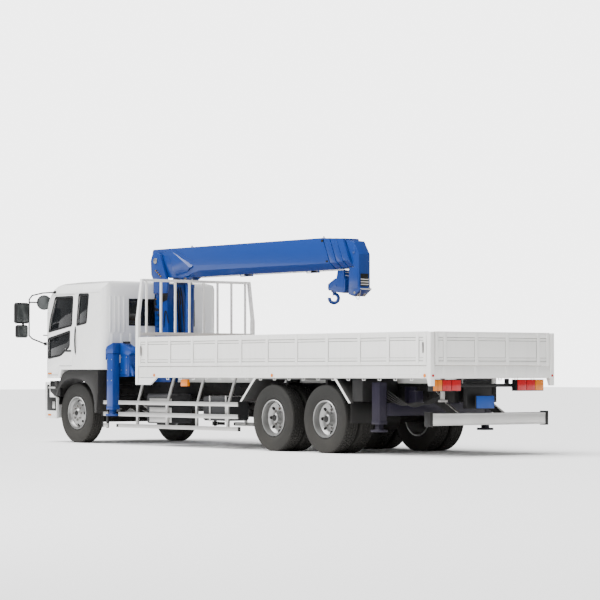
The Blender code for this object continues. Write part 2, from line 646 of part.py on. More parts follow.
def twin_tyre_profile(outer):
    """Both tyres of a twin, joined where their sidewalls bulge towards each other."""
    middle_out = outer - TYRE_WIDTH
    middle_in = middle_out - TWIN_GAP
    inner = middle_in - TYRE_WIDTH
    return (tyre_profile(outer, middle_out)[:4] + [(middle_out, 0.40), (middle_in, 0.40)]
            + tyre_profile(middle_in, inner)[2:])


def front_wheel(side):
    sign = 1 if side == "left" else -1
    outer = FRONT_TYRE_OUTER_X
    centre = (0, y_at(FRONT_AXLE_AT), AXLE_Z)
    pivot = (sign * (outer - TYRE_WIDTH / 2), y_at(FRONT_AXLE_AT), AXLE_Z)
    tyre = turned([(sign * x, r) for x, r in tyre_profile(outer, outer - TYRE_WIDTH)], centre)
    place(f"front_tyre_{side}", tyre, "rubber", pivot)
    rim = RIM_RADIUS + 0.004
    section = [(outer - 0.02, rim - 0.02), (outer - 0.024, rim), (outer - 0.255, rim), (outer - 0.255, rim - 0.025),
               (outer - 0.10, rim - 0.045), (outer - 0.09, 0.18), (outer - 0.08, 0.10), (outer - 0.13, 0.05),
               (outer - 0.13, 0.0001), (outer + 0.02, 0.0001), (outer + 0.02, 0.075), (outer - 0.015, 0.085),
               (outer - 0.015, 0.15), (outer - 0.055, 0.20), (outer - 0.065, rim - 0.04)]
    wheel = turned([(sign * x, r) for x, r in section], centre)
    place(f"front_wheel_{side}", wheel, "silver_paint", pivot)


def rear_wheel(side, number):
    sign = 1 if side == "left" else -1
    outer = REAR_TYRE_OUTER_X
    ahead = REAR_AXLES_AT[number - 1]
    centre = (0, y_at(ahead), AXLE_Z)
    pivot = (sign * (outer - TYRE_WIDTH - TWIN_GAP / 2), y_at(ahead), AXLE_Z)
    tyre = turned([(sign * x, r) for x, r in twin_tyre_profile(outer)], centre)
    place(f"rear_tyres_{number}_{side}", tyre, "rubber", pivot)
    rim = RIM_RADIUS + 0.004
    disc = outer - 0.155
    section = [(outer - 0.02, rim - 0.02), (outer - 0.024, rim), (outer - 0.56, rim), (outer - 0.56, rim - 0.025),
               (disc - 0.05, rim - 0.03), (disc - 0.03, 0.20), (disc - 0.03, 0.072), (disc + 0.02, 0.072),
               (disc + 0.02, 0.0001), (outer - 0.045, 0.0001), (outer - 0.045, 0.085), (disc, 0.105),
               (disc, 0.19), (outer - 0.10, rim - 0.035)]
    wheel = turned([(sign * x, r) for x, r in section], centre)
    place(f"rear_wheel_{number}_{side}", wheel, "silver_paint", pivot)


def knuckle(side):
    sign = 1 if side == "left" else -1
    y = y_at(FRONT_AXLE_AT)
    carrier = block((sign * (KINGPIN_X - 0.055), sign * (KINGPIN_X + 0.095)),
                    (FRONT_AXLE_AT - 0.07, FRONT_AXLE_AT + 0.07), (0.34, 0.70))
    pin_bore = cylinder((sign * KINGPIN_X, y, 0.412), (sign * KINGPIN_X, y, 0.628), 0.076, 16)
    beam_slot = block((sign * (KINGPIN_X - 0.10), sign * KINGPIN_X),
                      (FRONT_AXLE_AT - 0.2, FRONT_AXLE_AT + 0.2), (0.412, 0.628))
    carrier = cut(carrier, pin_bore, beam_slot)
    stub = cylinder((sign * (KINGPIN_X + 0.085), y, AXLE_Z), (sign * (FRONT_TYRE_OUTER_X - 0.136), y, AXLE_Z), 0.042, 12)
    arm = block((sign * (KINGPIN_X - 0.055), sign * (KINGPIN_X - 0.015)),
                (FRONT_AXLE_AT - 0.24, FRONT_AXLE_AT), (0.34, 0.40))
    place(f"knuckle_{side}", union(carrier, stub, arm), "chassis_black", (sign * KINGPIN_X, y, AXLE_Z))


# ---------------------------------------------------------------- crane
def crane_base():
    x_half = 1.075
    housing = block((-x_half, x_half), (8.055, 8.48), (1.165, 1.40))
    for side, ahead in FRONT_BEAM_AT.items():
        housing = cut(housing, block((-1.2, 1.2), (ahead - 0.086, ahead + 0.086),
                                     (FRONT_BEAM_Z - 0.091, FRONT_BEAM_Z + 0.091)))
    saddle = block((-0.425, 0.425), (7.70, 8.50), (RAIL_Z[1] + TOUCH_GAP, 1.175))
    rear_box = block((-0.40, 0.40), (7.70, 8.06), (1.16, 1.40))
    ring = cylinder((0, y_at(SLEW_AT), 1.39), (0, y_at(SLEW_AT), 1.43), 0.36, 24)
    piece = union(housing, saddle, rear_box, ring)
    for sign in (-1, 1):
        console = block((sign * 0.80, sign * 1.07), (8.02, 8.27), (1.18, 1.62))
        piece = union(piece, console)
        piece = cut(piece, block((sign * 0.7, sign * 1.2), (8.079, 8.28), (1.189, 1.371)))
    place("crane_base", piece, "crane_blue")


def outrigger_leg(x, ahead, beam, z, size, inner, top, low):
    """Beam with the jack's outer tube at its end, on the left side."""
    bar = block((beam[0], x), (ahead - size / 2, ahead + size / 2), (z - size / 2, z + size / 2))
    leg = block((x - 0.07, x + 0.07), (ahead - 0.09, ahead + 0.09), (low, top))
    bore = block((x - inner, x + inner), (ahead - inner, ahead + inner), (low - 0.1, top - 0.02))
    return cut(union(bar, leg), bore)


def jack(x, ahead, inner, top, low):
    """Sliding leg with its foot plate, on the left side."""
    post = block((x - inner, x + inner), (ahead - inner, ahead + inner), (low + 0.02, top))
    foot = cylinder((x, y_at(ahead), low), (x, y_at(ahead), low + 0.035), 0.13, 16)
    return union(post, foot)


def outriggers():
    for side, sign in (("left", 1), ("right", -1)):
        ahead = FRONT_BEAM_AT[side]
        beam = outrigger_leg(FRONT_LEG_X, ahead, (-1.00, 0), FRONT_BEAM_Z, 0.16, 0.052, 1.56, 0.60)
        pad = jack(FRONT_LEG_X, ahead, 0.046, 1.50, 0.49)
        rear = outrigger_leg(REAR_LEG_X, REAR_BEAM_AT, (0.02, 0), REAR_BEAM_Z, 0.13, 0.052, 1.09, 0.46)
        rear_pad = jack(REAR_LEG_X, REAR_BEAM_AT, 0.046, 1.05, 0.345)
        made = [beam, pad, rear, rear_pad]
        if sign < 0:
            flipped = [mirrored(piece) for piece in made]
            for piece in made:
                bpy.data.objects.remove(piece)
            made = flipped
        front_pivot = (sign * FRONT_LEG_X, y_at(ahead), FRONT_BEAM_Z)
        rear_pivot = (sign * REAR_LEG_X, y_at(REAR_BEAM_AT), REAR_BEAM_Z)
        place(f"front_outrigger_beam_{side}", made[0], "crane_blue", front_pivot)
        place(f"front_jack_{side}", made[1], "crane_blue", front_pivot)
        place(f"rear_outrigger_beam_{side}", made[2], "dark_violet", rear_pivot)
        place(f"rear_jack_{side}", made[3], "dark_violet", rear_pivot)


def rear_outrigger_housing():
    outer = block((-0.99, 0.99), (1.265, 1.455), (0.585, 0.778))
    bore = block((-1.1, 1.1), (1.289, 1.431), (0.609, 0.751))
    hangers = [block((sign * 0.428, sign * 0.468), (1.24, 1.48), (0.765, 1.02)) for sign in (-1, 1)]
    body = cut(outer, bore)
    place("rear_outrigger_housing", union(body, *hangers), "dark_violet")


def crane_column():
    centre_y = y_at(SLEW_AT)
    table = cylinder((0, centre_y, 1.436), (0, centre_y, 1.49), 0.37, 24)
    foot = side_solid([(8.50, 1.48), (8.50, 1.86), (7.98, 1.86), (7.86, 1.48)], (-0.225, 0.225))
    post = side_solid([(8.49, 1.80), (8.51, 2.62), (8.51, 2.78), (8.15, 2.78), (8.08, 1.80)], (-0.20, 0.20))
    ear = [(8.49, 2.62), (8.49, 2.85), (8.56, 2.95), (8.575, 3.20), (8.53, 3.30), (8.42, 3.345),
           (8.29, 3.29), (8.06, 2.80), (8.10, 2.62)]
    ears = [side_solid(ear, (sign * 0.196, sign * 0.240)) for sign in (-1, 1)]
    lug = [(7.98, 1.475), (7.98, 1.68), (7.78, 1.60), (7.69, 1.545), (7.69, 1.475)]
    lugs = [side_solid(lug, (sign * 0.105, sign * 0.155)) for sign in (-1, 1)]
    pin_y = y_at(LIFT_BASE_AT)
    pin = cylinder((-0.12, pin_y, LIFT_BASE_Z), (0.12, pin_y, LIFT_BASE_Z), 0.028, 12)
    piece = union(table, foot, post, *ears, *lugs, pin)
    place("crane_column", piece, "crane_blue", (0, centre_y, 1.45))


def hollow_beam(size, ahead, middle_z=BOOM_MID_Z):
    """Square tube lying along the truck, open at both ends."""
    half_x, half_z = size[0] / 2, size[1] / 2
    outer = rounded(block((-half_x, half_x), ahead, (middle_z - half_z, middle_z + half_z)), 0.02, 1)
    inner = block((-half_x + BOOM_WALL, half_x - BOOM_WALL), (ahead[0] - 0.1, ahead[1] + 0.1),
                  (middle_z - half_z + BOOM_WALL, middle_z + half_z - BOOM_WALL))
    return cut(outer, inner)


def slanted(tip, z, top_z):
    """Place along the truck of a slanted end at height z, given where its upper edge is."""
    return tip - TIP_SLANT * (top_z - z)


def keeled(size, ahead, top):
    """Boom profile with sloped lower corners; both ends lean alike from their upper edges."""
    half_x, side_z, keel_z = size[0] / 2, top - size[1], top - size[1] - KEEL_DROP
    front, tip = ahead
    outline = [(front, top), (tip, top), (slanted(tip, keel_z, top), keel_z), (slanted(front, keel_z, top), keel_z)]
    profile = [(-half_x, top), (half_x, top), (half_x, side_z), (KEEL_HALF, keel_z), (-KEEL_HALF, keel_z),
               (-half_x, side_z)]
    reach = (max(front, tip) + 0.1, slanted(min(front, tip), keel_z, top) - 0.1)
    return common(side_solid(outline, (-half_x - 0.1, half_x + 0.1)), front_solid(profile, reach))


def boom_base_section():
    top = BOOM_MID_Z + BOOM_SIZES[0][1] / 2
    half_x, keel_z = BOOM_SIZES[0][0] / 2, top - BOOM_SIZES[0][1] - KEEL_DROP
    beam = keeled(BOOM_SIZES[0], (8.45, BOOM_TIP_AT), top)
    foot = side_solid([(8.40, 2.90), (8.52, 2.995), (8.63, 3.155), (8.59, top - 0.02), (8.56, top), (7.20, top),
                       (7.20, top - BOOM_SIZES[0][1]), (7.66, keel_z - 0.008)], (-half_x, half_x))
    inner_x, inner_z = half_x - BOOM_WALL, BOOM_SIZES[1][1] / 2 + 0.008
    bore = block((-inner_x, inner_x), (3.3, BOOM_FOOT_AT + 0.04), (BOOM_MID_Z - inner_z, BOOM_MID_Z + inner_z))
    pin_y = y_at(FOOT_PIN_AT)
    boss = cylinder((-0.192, pin_y, FOOT_PIN_Z), (0.192, pin_y, FOOT_PIN_Z), 0.06, 16)
    body = union(cut(union(beam, foot), bore), boss)
    for sign in (-1, 1):
        cheek = side_solid([(7.92, 2.93), (7.92, 2.87), (7.80, 2.815), (7.64, 2.815), (7.54, 2.87), (7.54, 2.95)],
                           (sign * 0.066, sign * 0.096))
        body = union(body, cheek)
    rod_slot = block((-0.062, 0.062), (7.56, 8.12), (2.80, 2.994))
    place("boom_section_1", cut(body, rod_slot), "crane_blue", (0, pin_y, FOOT_PIN_Z))


def boom_sections():
    boom_base_section()
    for index, (collar, tip) in enumerate(zip(COLLAR_SIZES, COLLAR_TIP_AT)):
        size = BOOM_SIZES[index + 1]
        top = BOOM_MID_Z + BOOM_SIZES[0][1] / 2 - 0.008 * (index + 1)
        beam = hollow_beam(size, (tip, BOOM_FOOT_AT - 0.05 * index))
        ring = keeled(collar, (tip + COLLAR_LENGTH, tip), top)
        inner_x, inner_z = size[0] / 2 - BOOM_WALL, size[1] / 2 - BOOM_WALL
        hole = block((-inner_x, inner_x), (tip - 0.4, tip + 0.3), (BOOM_MID_Z - inner_z, BOOM_MID_Z + inner_z))
        place(f"boom_section_{index + 2}", union(beam, cut(ring, hole)), "crane_blue")
    beam = hollow_beam(BOOM_SIZES[4], (3.20, BOOM_FOOT_AT - 0.2))
    head = [(3.315, 3.34), (3.13, 3.32), (2.995, 3.11), (2.995, 2.585), (2.95, 2.55), (3.12, 2.44), (3.25, 2.475),
            (3.24, 2.905), (3.12, 2.905)]
    place("boom_section_5", union(beam, side_solid(head, (-0.115, 0.115))), "crane_blue")


def hook_parts():
    pivot = (0, y_at(BLOCK_AT), BLOCK_Z)
    outline = [(3.82, 2.655), (3.82, 2.575), (3.80, 2.55), (3.70, 2.55), (3.66, 2.525), (3.42, 2.50),
               (3.38, 2.53), (3.38, 2.71), (3.415, 2.75), (3.42, 2.865), (3.575, 2.865), (3.60, 2.75),
               (3.66, 2.735)]
    block_body = rounded(side_solid(outline, (-0.085, 0.085)), 0.010, 1)
    place("hook_block", block_body, "crane_blue", pivot)
    hook_y = y_at(HOOK_AT)
    bend = []
    for k in range(HOOK_STEPS + 1):
        turn = math.radians(90 - 278 * k / HOOK_STEPS)
        reach = HOOK_RADIUS * math.cos(turn)
        bend.append((-reach * math.sin(HOOK_TURN), hook_y + reach * math.cos(HOOK_TURN),
                     HOOK_Z + HOOK_RADIUS * math.sin(turn)))
    hook = tube([(0, hook_y, 2.545)] + bend, 0.028, 2)
    collar = cylinder((0, hook_y, 2.525), (0, hook_y, 2.5495), 0.045, 12)
    place("crane_hook", union(hook, collar), "crane_blue", (0, hook_y, HOOK_Z))


def lift_parts():
    base = Vector((0, y_at(LIFT_BASE_AT), LIFT_BASE_Z))
    eye = Vector((0, y_at(LIFT_EYE_AT), LIFT_EYE_Z))
    along = (eye - base).normalized()
    barrel = cylinder(base + along * 0.03, base + along * 1.20, 0.075, 16)
    knob = cylinder(base - Vector((0.098, 0, 0)), base + Vector((0.098, 0, 0)), 0.055, 16)
    bore = cylinder(base + along * 0.09, base + along * 1.4, 0.052, 16)
    pin_bore = cylinder(base - Vector((0.2, 0, 0)), base + Vector((0.2, 0, 0)), 0.031, 12)
    place("lift_cylinder", cut(union(barrel, knob), bore, pin_bore), "crane_blue", base)
    rod = cylinder(base + along * 0.10, eye - along * 0.03, 0.046, 16)
    eye_ring = cylinder(eye - Vector((0.050, 0, 0)), eye + Vector((0.050, 0, 0)), 0.048, 16)
    eye_pin = cylinder(eye - Vector((0.056, 0, 0)), eye + Vector((0.056, 0, 0)), 0.026, 12)
    place("lift_rod", union(rod, eye_ring, eye_pin), "steel", eye)


# ---------------------------------------------------------------- assembly
def build():
    chassis_frame()
    engine()
    front_axle()
    rear_bogie()
    front_bumper()
    fuel_tank()
    chassis_boxes()
    rear_mudguards()
    bed_floor()
    guard_rack()
    tailgate()
    rear_bumper()
    rear_lamps()
    cab_shell()
    windshield()
    cab_interior()
    crane_base()
    outriggers()
    rear_outrigger_housing()
    crane_column()
    boom_sections()
    hook_parts()
    lift_parts()
    for side in ("left", "right"):
        front_fender(side)
        side_guard(side)
        side_gate(side)
        door(side)
        mirror(side)
        knuckle(side)
        front_wheel(side)
        for number in (1, 2):
            rear_wheel(side, number)


build()
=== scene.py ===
"""Looks of the loader crane truck: fine shapes, finishes, floor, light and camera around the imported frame."""
import json
import math

import bmesh
import bpy
from bpy.props import FloatProperty, FloatVectorProperty, IntProperty, PointerProperty
from mathutils import Matrix, Vector


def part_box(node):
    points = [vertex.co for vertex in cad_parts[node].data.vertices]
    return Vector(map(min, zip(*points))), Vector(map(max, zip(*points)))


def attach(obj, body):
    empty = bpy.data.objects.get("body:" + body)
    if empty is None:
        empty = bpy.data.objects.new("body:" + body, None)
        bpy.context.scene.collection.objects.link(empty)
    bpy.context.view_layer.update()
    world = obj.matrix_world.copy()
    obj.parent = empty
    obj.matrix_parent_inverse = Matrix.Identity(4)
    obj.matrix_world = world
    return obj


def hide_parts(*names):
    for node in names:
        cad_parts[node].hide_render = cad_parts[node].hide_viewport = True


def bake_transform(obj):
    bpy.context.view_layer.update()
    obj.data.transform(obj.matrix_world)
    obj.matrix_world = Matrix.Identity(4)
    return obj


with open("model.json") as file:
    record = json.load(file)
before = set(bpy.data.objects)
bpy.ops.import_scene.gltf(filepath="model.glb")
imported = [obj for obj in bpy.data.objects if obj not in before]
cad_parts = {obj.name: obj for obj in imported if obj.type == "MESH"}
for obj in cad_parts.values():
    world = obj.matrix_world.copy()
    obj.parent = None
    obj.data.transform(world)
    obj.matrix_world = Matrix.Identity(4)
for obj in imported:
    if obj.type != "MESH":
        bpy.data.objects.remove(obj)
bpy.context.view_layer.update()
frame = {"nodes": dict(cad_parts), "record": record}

bl_info = {
    "name": "Loader Crane Truck",
    "version": (1, 0, 0),
    "blender": (4, 5, 0),
    "location": "3D View > Sidebar > Crane Truck",
    "description": "Builds the fine shapes and finishes of a three-axle truck with a loader crane",
    "category": "Object",
}

BED_REAR_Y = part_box("tailgate")[1][1]
TYRE_LOW, TYRE_HIGH = (Vector(corner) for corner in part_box("front_tyre_left"))
AXLE_Z = (TYRE_LOW.z + TYRE_HIGH.z) / 2
TYRE_RADIUS = AXLE_Z / math.cos(math.pi / 24)
TYRE_WIDTH = TYRE_HIGH.x - TYRE_LOW.x
RIM_RADIUS = 0.290
SIDES = ("left", "right")
SIGNS = {"left": 1, "right": -1}
NODE_SLOTS = {part["node"]: part["material_slot"] for part in frame["record"]["subparts"]}
NODE_BODIES = {node: body for body, nodes in frame["record"]["behaviour"]["bodies"].items() for node in nodes}


# ---------------------------------------------------------------- sizes and colours
class PaintSettings(bpy.types.PropertyGroup):
    """Colours of the truck's main finishes."""
    cab_white: FloatVectorProperty(name="Cab white", description="Paint of cab, bumper and rack",
                                   subtype="COLOR",
                                   size=3, min=0, max=1, default=(0.86, 0.86, 0.845))
    bed_white: FloatVectorProperty(name="Bed white", description="Paint of the gates and sills",
                                   subtype="COLOR",
                                   size=3, min=0, max=1, default=(0.80, 0.795, 0.77))
    crane_blue: FloatVectorProperty(name="Crane blue", description="Paint of the crane", subtype="COLOR",
                                    size=3, min=0, max=1, default=(0.004, 0.036, 0.21))
    # Dark colour mixed in low on the truck: road dirt, and painted shade under the truck.
    dust_and_shade: FloatVectorProperty(name="Road dust", description="Dust and painted shade low on the chassis", subtype="COLOR",
                              size=3, min=0, max=1, default=(0.075, 0.068, 0.058))


class DetailSettings(bpy.types.PropertyGroup):
    """Sizes of small repeated pieces."""
    edge_round: FloatProperty(name="Edge round", description="Rounding of sheet metal edges", unit="LENGTH",
                              subtype="DISTANCE", min=0.001, max=0.02, default=0.005)
    bolt_radius: FloatProperty(name="Bolt radius", description="Radius of hexagon heads", unit="LENGTH",
                               subtype="DISTANCE", min=0.004, max=0.03, default=0.012)
    rope_radius: FloatProperty(name="Rope radius", description="Radius of the winch rope", unit="LENGTH",
                               subtype="DISTANCE", min=0.003, max=0.01, default=0.005)
    tread_blocks: IntProperty(name="Tread blocks", description="Tread blocks round each tyre", min=24, max=90,
                              default=60)
    wheel_nuts: IntProperty(name="Wheel nuts", description="Nuts round each hub", min=6, max=12, default=8)


class StageSettings(bpy.types.PropertyGroup):
    """Floor, light and camera."""
    floor_size: FloatProperty(name="Floor size", description="Side of the floor", unit="LENGTH",
                              subtype="DISTANCE", min=20, max=400, default=240)
    key_power: FloatProperty(name="Key light", description="Strength of the overhead light", min=0, default=8)
    lens: FloatProperty(name="Lens", description="Focal length of the camera in millimetres", min=20, max=300,
                        default=144.6)


def paint():
    return bpy.context.scene.truck_paint


def detail():
    return bpy.context.scene.truck_detail


# ---------------------------------------------------------------- places
def y_at(ahead):
    """Y of a place given as its distance ahead of the bed's rear face."""
    return BED_REAR_Y - ahead


def spot(x, ahead, z):
    """Point in the frame from its place across, ahead of the bed's rear face and up."""
    return Vector((x, y_at(ahead), z))


# ---------------------------------------------------------------- shader node groups
def group_tree(name, inputs, outputs):
    """New shader node group with named sockets; returns tree, input node and output node."""
    tree = bpy.data.node_groups.new(name, "ShaderNodeTree")
    for socket, kind, value in inputs:
        made = tree.interface.new_socket(name=socket, in_out="INPUT", socket_type=kind)
        made.default_value = value
    for socket, kind in outputs:
        tree.interface.new_socket(name=socket, in_out="OUTPUT", socket_type=kind)
    return tree, tree.nodes.new("NodeGroupInput"), tree.nodes.new("NodeGroupOutput")


def math_node(tree, operation, first, second, clamp=False):
    node = tree.nodes.new("ShaderNodeMath")
    node.operation = operation
    node.use_clamp = clamp
    for socket, value in zip(node.inputs, (first, second)):
        if isinstance(value, bpy.types.NodeSocket):
            tree.links.new(value, socket)
        else:
            socket.default_value = value
    return node.outputs[0]


def noise_node(tree, vector, scale, detail_level=4.0):
    node = tree.nodes.new("ShaderNodeTexNoise")
    node.inputs["Detail"].default_value = detail_level
    tree.links.new(vector, node.inputs["Vector"])
    if isinstance(scale, bpy.types.NodeSocket):
        tree.links.new(scale, node.inputs["Scale"])
    else:
        node.inputs["Scale"].default_value = scale
    return node.outputs["Fac"]


def dust_and_low_shade_group():
    """Mask of road dirt and painted shade: 1 low on the truck, fading out with height, broken up by noise."""
    tree, source, sink = group_tree("Dust And Low Shade",
                                    [("Top", "NodeSocketFloat", 1.0), ("Amount", "NodeSocketFloat", 0.5)],
                                    [("Mask", "NodeSocketFloat")])
    place = tree.nodes.new("ShaderNodeTexCoord")
    split = tree.nodes.new("ShaderNodeSeparateXYZ")
    tree.links.new(place.outputs["Object"], split.inputs[0])
    height = math_node(tree, "DIVIDE", split.outputs["Z"], source.outputs["Top"])
    fade = math_node(tree, "SUBTRACT", 1.0, height, clamp=True)
    patches = noise_node(tree, place.outputs["Object"], 3.5, 8.0)
    mask = math_node(tree, "MULTIPLY", fade, math_node(tree, "MULTIPLY", patches, 1.8))
    mask = math_node(tree, "MULTIPLY", mask, source.outputs["Amount"], clamp=True)
    tree.links.new(mask, sink.inputs["Mask"])
    return tree


def wear_group():
    """Small chips and scratches, as a mask, and a fine surface grain, as a height."""
    tree, source, sink = group_tree("Wear And Grain",
                                    [("Chip Scale", "NodeSocketFloat", 18.0),
                                     ("Chip Level", "NodeSocketFloat", 0.68),
                                     ("Grain Scale", "NodeSocketFloat", 260.0)],
                                    [("Chips", "NodeSocketFloat"), ("Grain", "NodeSocketFloat"),
                                     ("Tint", "NodeSocketFloat")])
    place = tree.nodes.new("ShaderNodeTexCoord").outputs["Object"]
    flecks = noise_node(tree, place, source.outputs["Chip Scale"], 9.0)
    chips = math_node(tree, "MULTIPLY", math_node(tree, "SUBTRACT", flecks, source.outputs["Chip Level"]),
                      30.0, True)
    tree.links.new(chips, sink.inputs["Chips"])
    tree.links.new(noise_node(tree, place, source.outputs["Grain Scale"], 2.0), sink.inputs["Grain"])
    tree.links.new(noise_node(tree, place, 0.9, 3.0), sink.inputs["Tint"])
    return tree


def streak_group():
    """Run-off streaks that hang down from edges, as a mask."""
    tree, source, sink = group_tree("Rain Streaks", [("Amount", "NodeSocketFloat", 0.3)],
                                    [("Mask", "NodeSocketFloat")])
    place = tree.nodes.new("ShaderNodeTexCoord")
    stretch = tree.nodes.new("ShaderNodeMapping")
    stretch.inputs["Scale"].default_value = (14.0, 14.0, 1.1)
    tree.links.new(place.outputs["Object"], stretch.inputs["Vector"])
    lines = noise_node(tree, stretch.outputs[0], 1.0, 5.0)
    mask = math_node(tree, "MULTIPLY", math_node(tree, "SUBTRACT", lines, 0.52), 3.0, True)
    tree.links.new(math_node(tree, "MULTIPLY", mask, source.outputs["Amount"]), sink.inputs["Mask"])
    return tree


def add_group(tree, make, name, **values):
    """Group node with its own values, with the group made once."""
    node = tree.nodes.new("ShaderNodeGroup")
    node.node_tree = bpy.data.node_groups.get(name) or make()
    for key, value in values.items():
        node.inputs[key.replace("_", " ")].default_value = value
    return node


def mix_colour(tree, factor, first, second):
    node = tree.nodes.new("ShaderNodeMix")
    node.data_type = "RGBA"
    tree.links.new(factor, node.inputs["Factor"])
    for socket, value in ((node.inputs[6], first), (node.inputs[7], second)):
        if isinstance(value, bpy.types.NodeSocket):
            tree.links.new(value, socket)
        else:
            socket.default_value = (*value, 1.0)
    return node.outputs[2]


# ---------------------------------------------------------------- materials
def finish(name, colour, roughness, metallic=0.0, coat=0.0, dust_and_shade_top=1.2, dust_and_shade=0.35, chip_level=0.72,
           chip_colour=None, grain_scale=240.0, grain=0.02, tint=0.06, streaks=0.0, alpha=1.0, specular=0.5):
    """Painted or moulded finish: tinted base, chips, streaks, and road dirt with painted shade low on the
    truck, with grain in the bump.
    """
    found = bpy.data.materials.get(name)
    if found:
        return found
    made = bpy.data.materials.new(name)
    made.use_nodes = True
    tree = made.node_tree
    shader = tree.nodes["Principled BSDF"]
    shader.inputs["Metallic"].default_value = metallic
    shader.inputs["Coat Weight"].default_value = coat
    shader.inputs["Specular IOR Level"].default_value = specular
    shader.inputs["Coat Roughness"].default_value = 0.06
    shader.inputs["Alpha"].default_value = alpha
    wear = add_group(tree, wear_group, "Wear And Grain", Chip_Level=chip_level, Grain_Scale=grain_scale)
    dust_and_shade_mask = add_group(tree, dust_and_low_shade_group, "Dust And Low Shade", Top=dust_and_shade_top, Amount=dust_and_shade)
    darker = tuple(channel * (1 - tint) for channel in colour)
    shade = mix_colour(tree, wear.outputs["Tint"], colour, darker)
    bare = chip_colour or tuple(channel * 0.6 for channel in colour)
    shade = mix_colour(tree, wear.outputs["Chips"], shade, bare)
    if streaks:
        runs = add_group(tree, streak_group, "Rain Streaks", Amount=streaks)
        shade = mix_colour(tree, runs.outputs["Mask"], shade, tuple(channel * 0.55 for channel in colour))
    # Road dirt and painted shade: a dark colour mixed in low on the truck, fading out with height.
    shade = mix_colour(tree, dust_and_shade_mask.outputs["Mask"], shade, tuple(paint().dust_and_shade))
    tree.links.new(shade, shader.inputs["Base Color"])
    rough = math_node(tree, "ADD", math_node(tree, "MULTIPLY", wear.outputs["Tint"], 0.12), roughness - 0.06)
    rough = math_node(tree, "ADD", rough, math_node(tree, "MULTIPLY", dust_and_shade_mask.outputs["Mask"], 0.35), True)
    tree.links.new(rough, shader.inputs["Roughness"])
    bump = tree.nodes.new("ShaderNodeBump")
    bump.inputs["Strength"].default_value = grain
    bump.inputs["Distance"].default_value = 0.002
    tree.links.new(wear.outputs["Grain"], bump.inputs["Height"])
    tree.links.new(bump.outputs["Normal"], shader.inputs["Normal"])
    return made


def cab_paint():
    return finish("cab_white_paint", tuple(paint().cab_white), 0.28, coat=0.5, dust_and_shade=0.25, dust_and_shade_top=1.4,
                  chip_level=0.80, tint=0.03)


def bed_paint():
    return finish("bed_white_paint", tuple(paint().bed_white), 0.36, coat=0.25, dust_and_shade=0.2, dust_and_shade_top=1.6,
                  chip_level=0.76, tint=0.05, streaks=0.22)


def crane_paint():
    return finish("crane_blue_paint", tuple(paint().crane_blue), 0.34, coat=0.25, dust_and_shade=0.08, chip_level=0.79,
                  chip_colour=(0.05, 0.08, 0.18), tint=0.12, specular=0.3)


def violet_paint():
    return finish("outrigger_violet_paint", (0.008, 0.006, 0.018), 0.45, dust_and_shade=0.2, chip_level=0.74,
                  specular=0.25)


def chassis_paint():
    return finish("chassis_black_paint", (0.006, 0.006, 0.0065), 0.5, dust_and_shade=0.25, dust_and_shade_top=1.3,
                  chip_level=0.70,
                  chip_colour=(0.03, 0.022, 0.018), grain=0.08, specular=0.15)


def fender_plastic():
    return finish("fender_plastic", (0.015, 0.0145, 0.014), 0.5, dust_and_shade=0.2, grain_scale=500.0, grain=0.15,
                  specular=0.3)


def brass():
    return finish("brass_fitting", (0.45, 0.28, 0.07), 0.35, metallic=0.9, dust_and_shade=0.1, grain=0.05)


def seam_shadow():
    return finish("seam_shadow", (0.035, 0.033, 0.03), 0.7, dust_and_shade=0.1, chip_level=0.9, specular=0.1)


def tyre_rubber():
    return finish("tyre_rubber", (0.017, 0.017, 0.016), 0.72, dust_and_shade=0.25, dust_and_shade_top=1.1, grain_scale=320.0,
                  grain=0.25, tint=0.2, specular=0.25)


def wheel_silver():
    return finish("wheel_silver", (0.34, 0.34, 0.335), 0.30, metallic=0.85, dust_and_shade=0.22, dust_and_shade_top=1.1,
                  chip_level=0.74, chip_colour=(0.20, 0.19, 0.18), tint=0.12)


def aluminium():
    return finish("brushed_aluminium", (0.66, 0.655, 0.64), 0.36, metallic=0.9, dust_and_shade=0.25, grain_scale=420.0,
                  grain=0.12, chip_level=0.8)


def steel():
    return finish("worn_steel", (0.34, 0.33, 0.32), 0.42, metallic=0.9, dust_and_shade=0.3, chip_level=0.64,
                  chip_colour=(0.16, 0.10, 0.06), grain=0.1)


def chrome():
    return finish("rod_chrome", (0.72, 0.73, 0.74), 0.12, metallic=1.0, dust_and_shade=0.0, chip_level=0.9, tint=0.02)


def black_trim():
    return finish("black_trim", (0.006, 0.006, 0.0065), 0.45, dust_and_shade=0.12, grain_scale=600.0, grain=0.1,
                  specular=0.25)


def cabin_plastic():
    return finish("cabin_plastic", (0.02, 0.02, 0.022), 0.7, dust_and_shade=0.0, grain_scale=700.0, grain=0.2)


def amber_lens():
    return finish("amber_lens", (0.62, 0.17, 0.006), 0.2, coat=0.2, dust_and_shade=0.05, chip_level=0.95, specular=0.3)


def red_lens():
    return finish("red_lens", (0.42, 0.004, 0.008), 0.2, coat=0.2, dust_and_shade=0.05, chip_level=0.95, specular=0.3)


def clear_lens():
    return finish("clear_lens", (0.75, 0.76, 0.78), 0.1, metallic=0.6, coat=0.8, dust_and_shade=0.1, chip_level=0.95)


def plate_blue():
    return finish("plate_blue", (0.004, 0.05, 0.27), 0.45, dust_and_shade=0.05, specular=0.3)


def dark_glass():
    return finish("window_glass", (0.006, 0.007, 0.008), 0.06, coat=0.2, dust_and_shade=0.03, dust_and_shade_top=2.6,
                  chip_level=0.95,
                  grain=0.0, alpha=0.9, specular=0.35)


def mirror_glass():
    return finish("mirror_glass", (0.05, 0.055, 0.055), 0.22, metallic=0.4, dust_and_shade=0.0, chip_level=0.95,
                  grain=0.0)


def rubber_hose():
    return finish("rubber_hose", (0.008, 0.008, 0.0085), 0.55, dust_and_shade=0.2, grain_scale=500.0, grain=0.1,
                  specular=0.25)


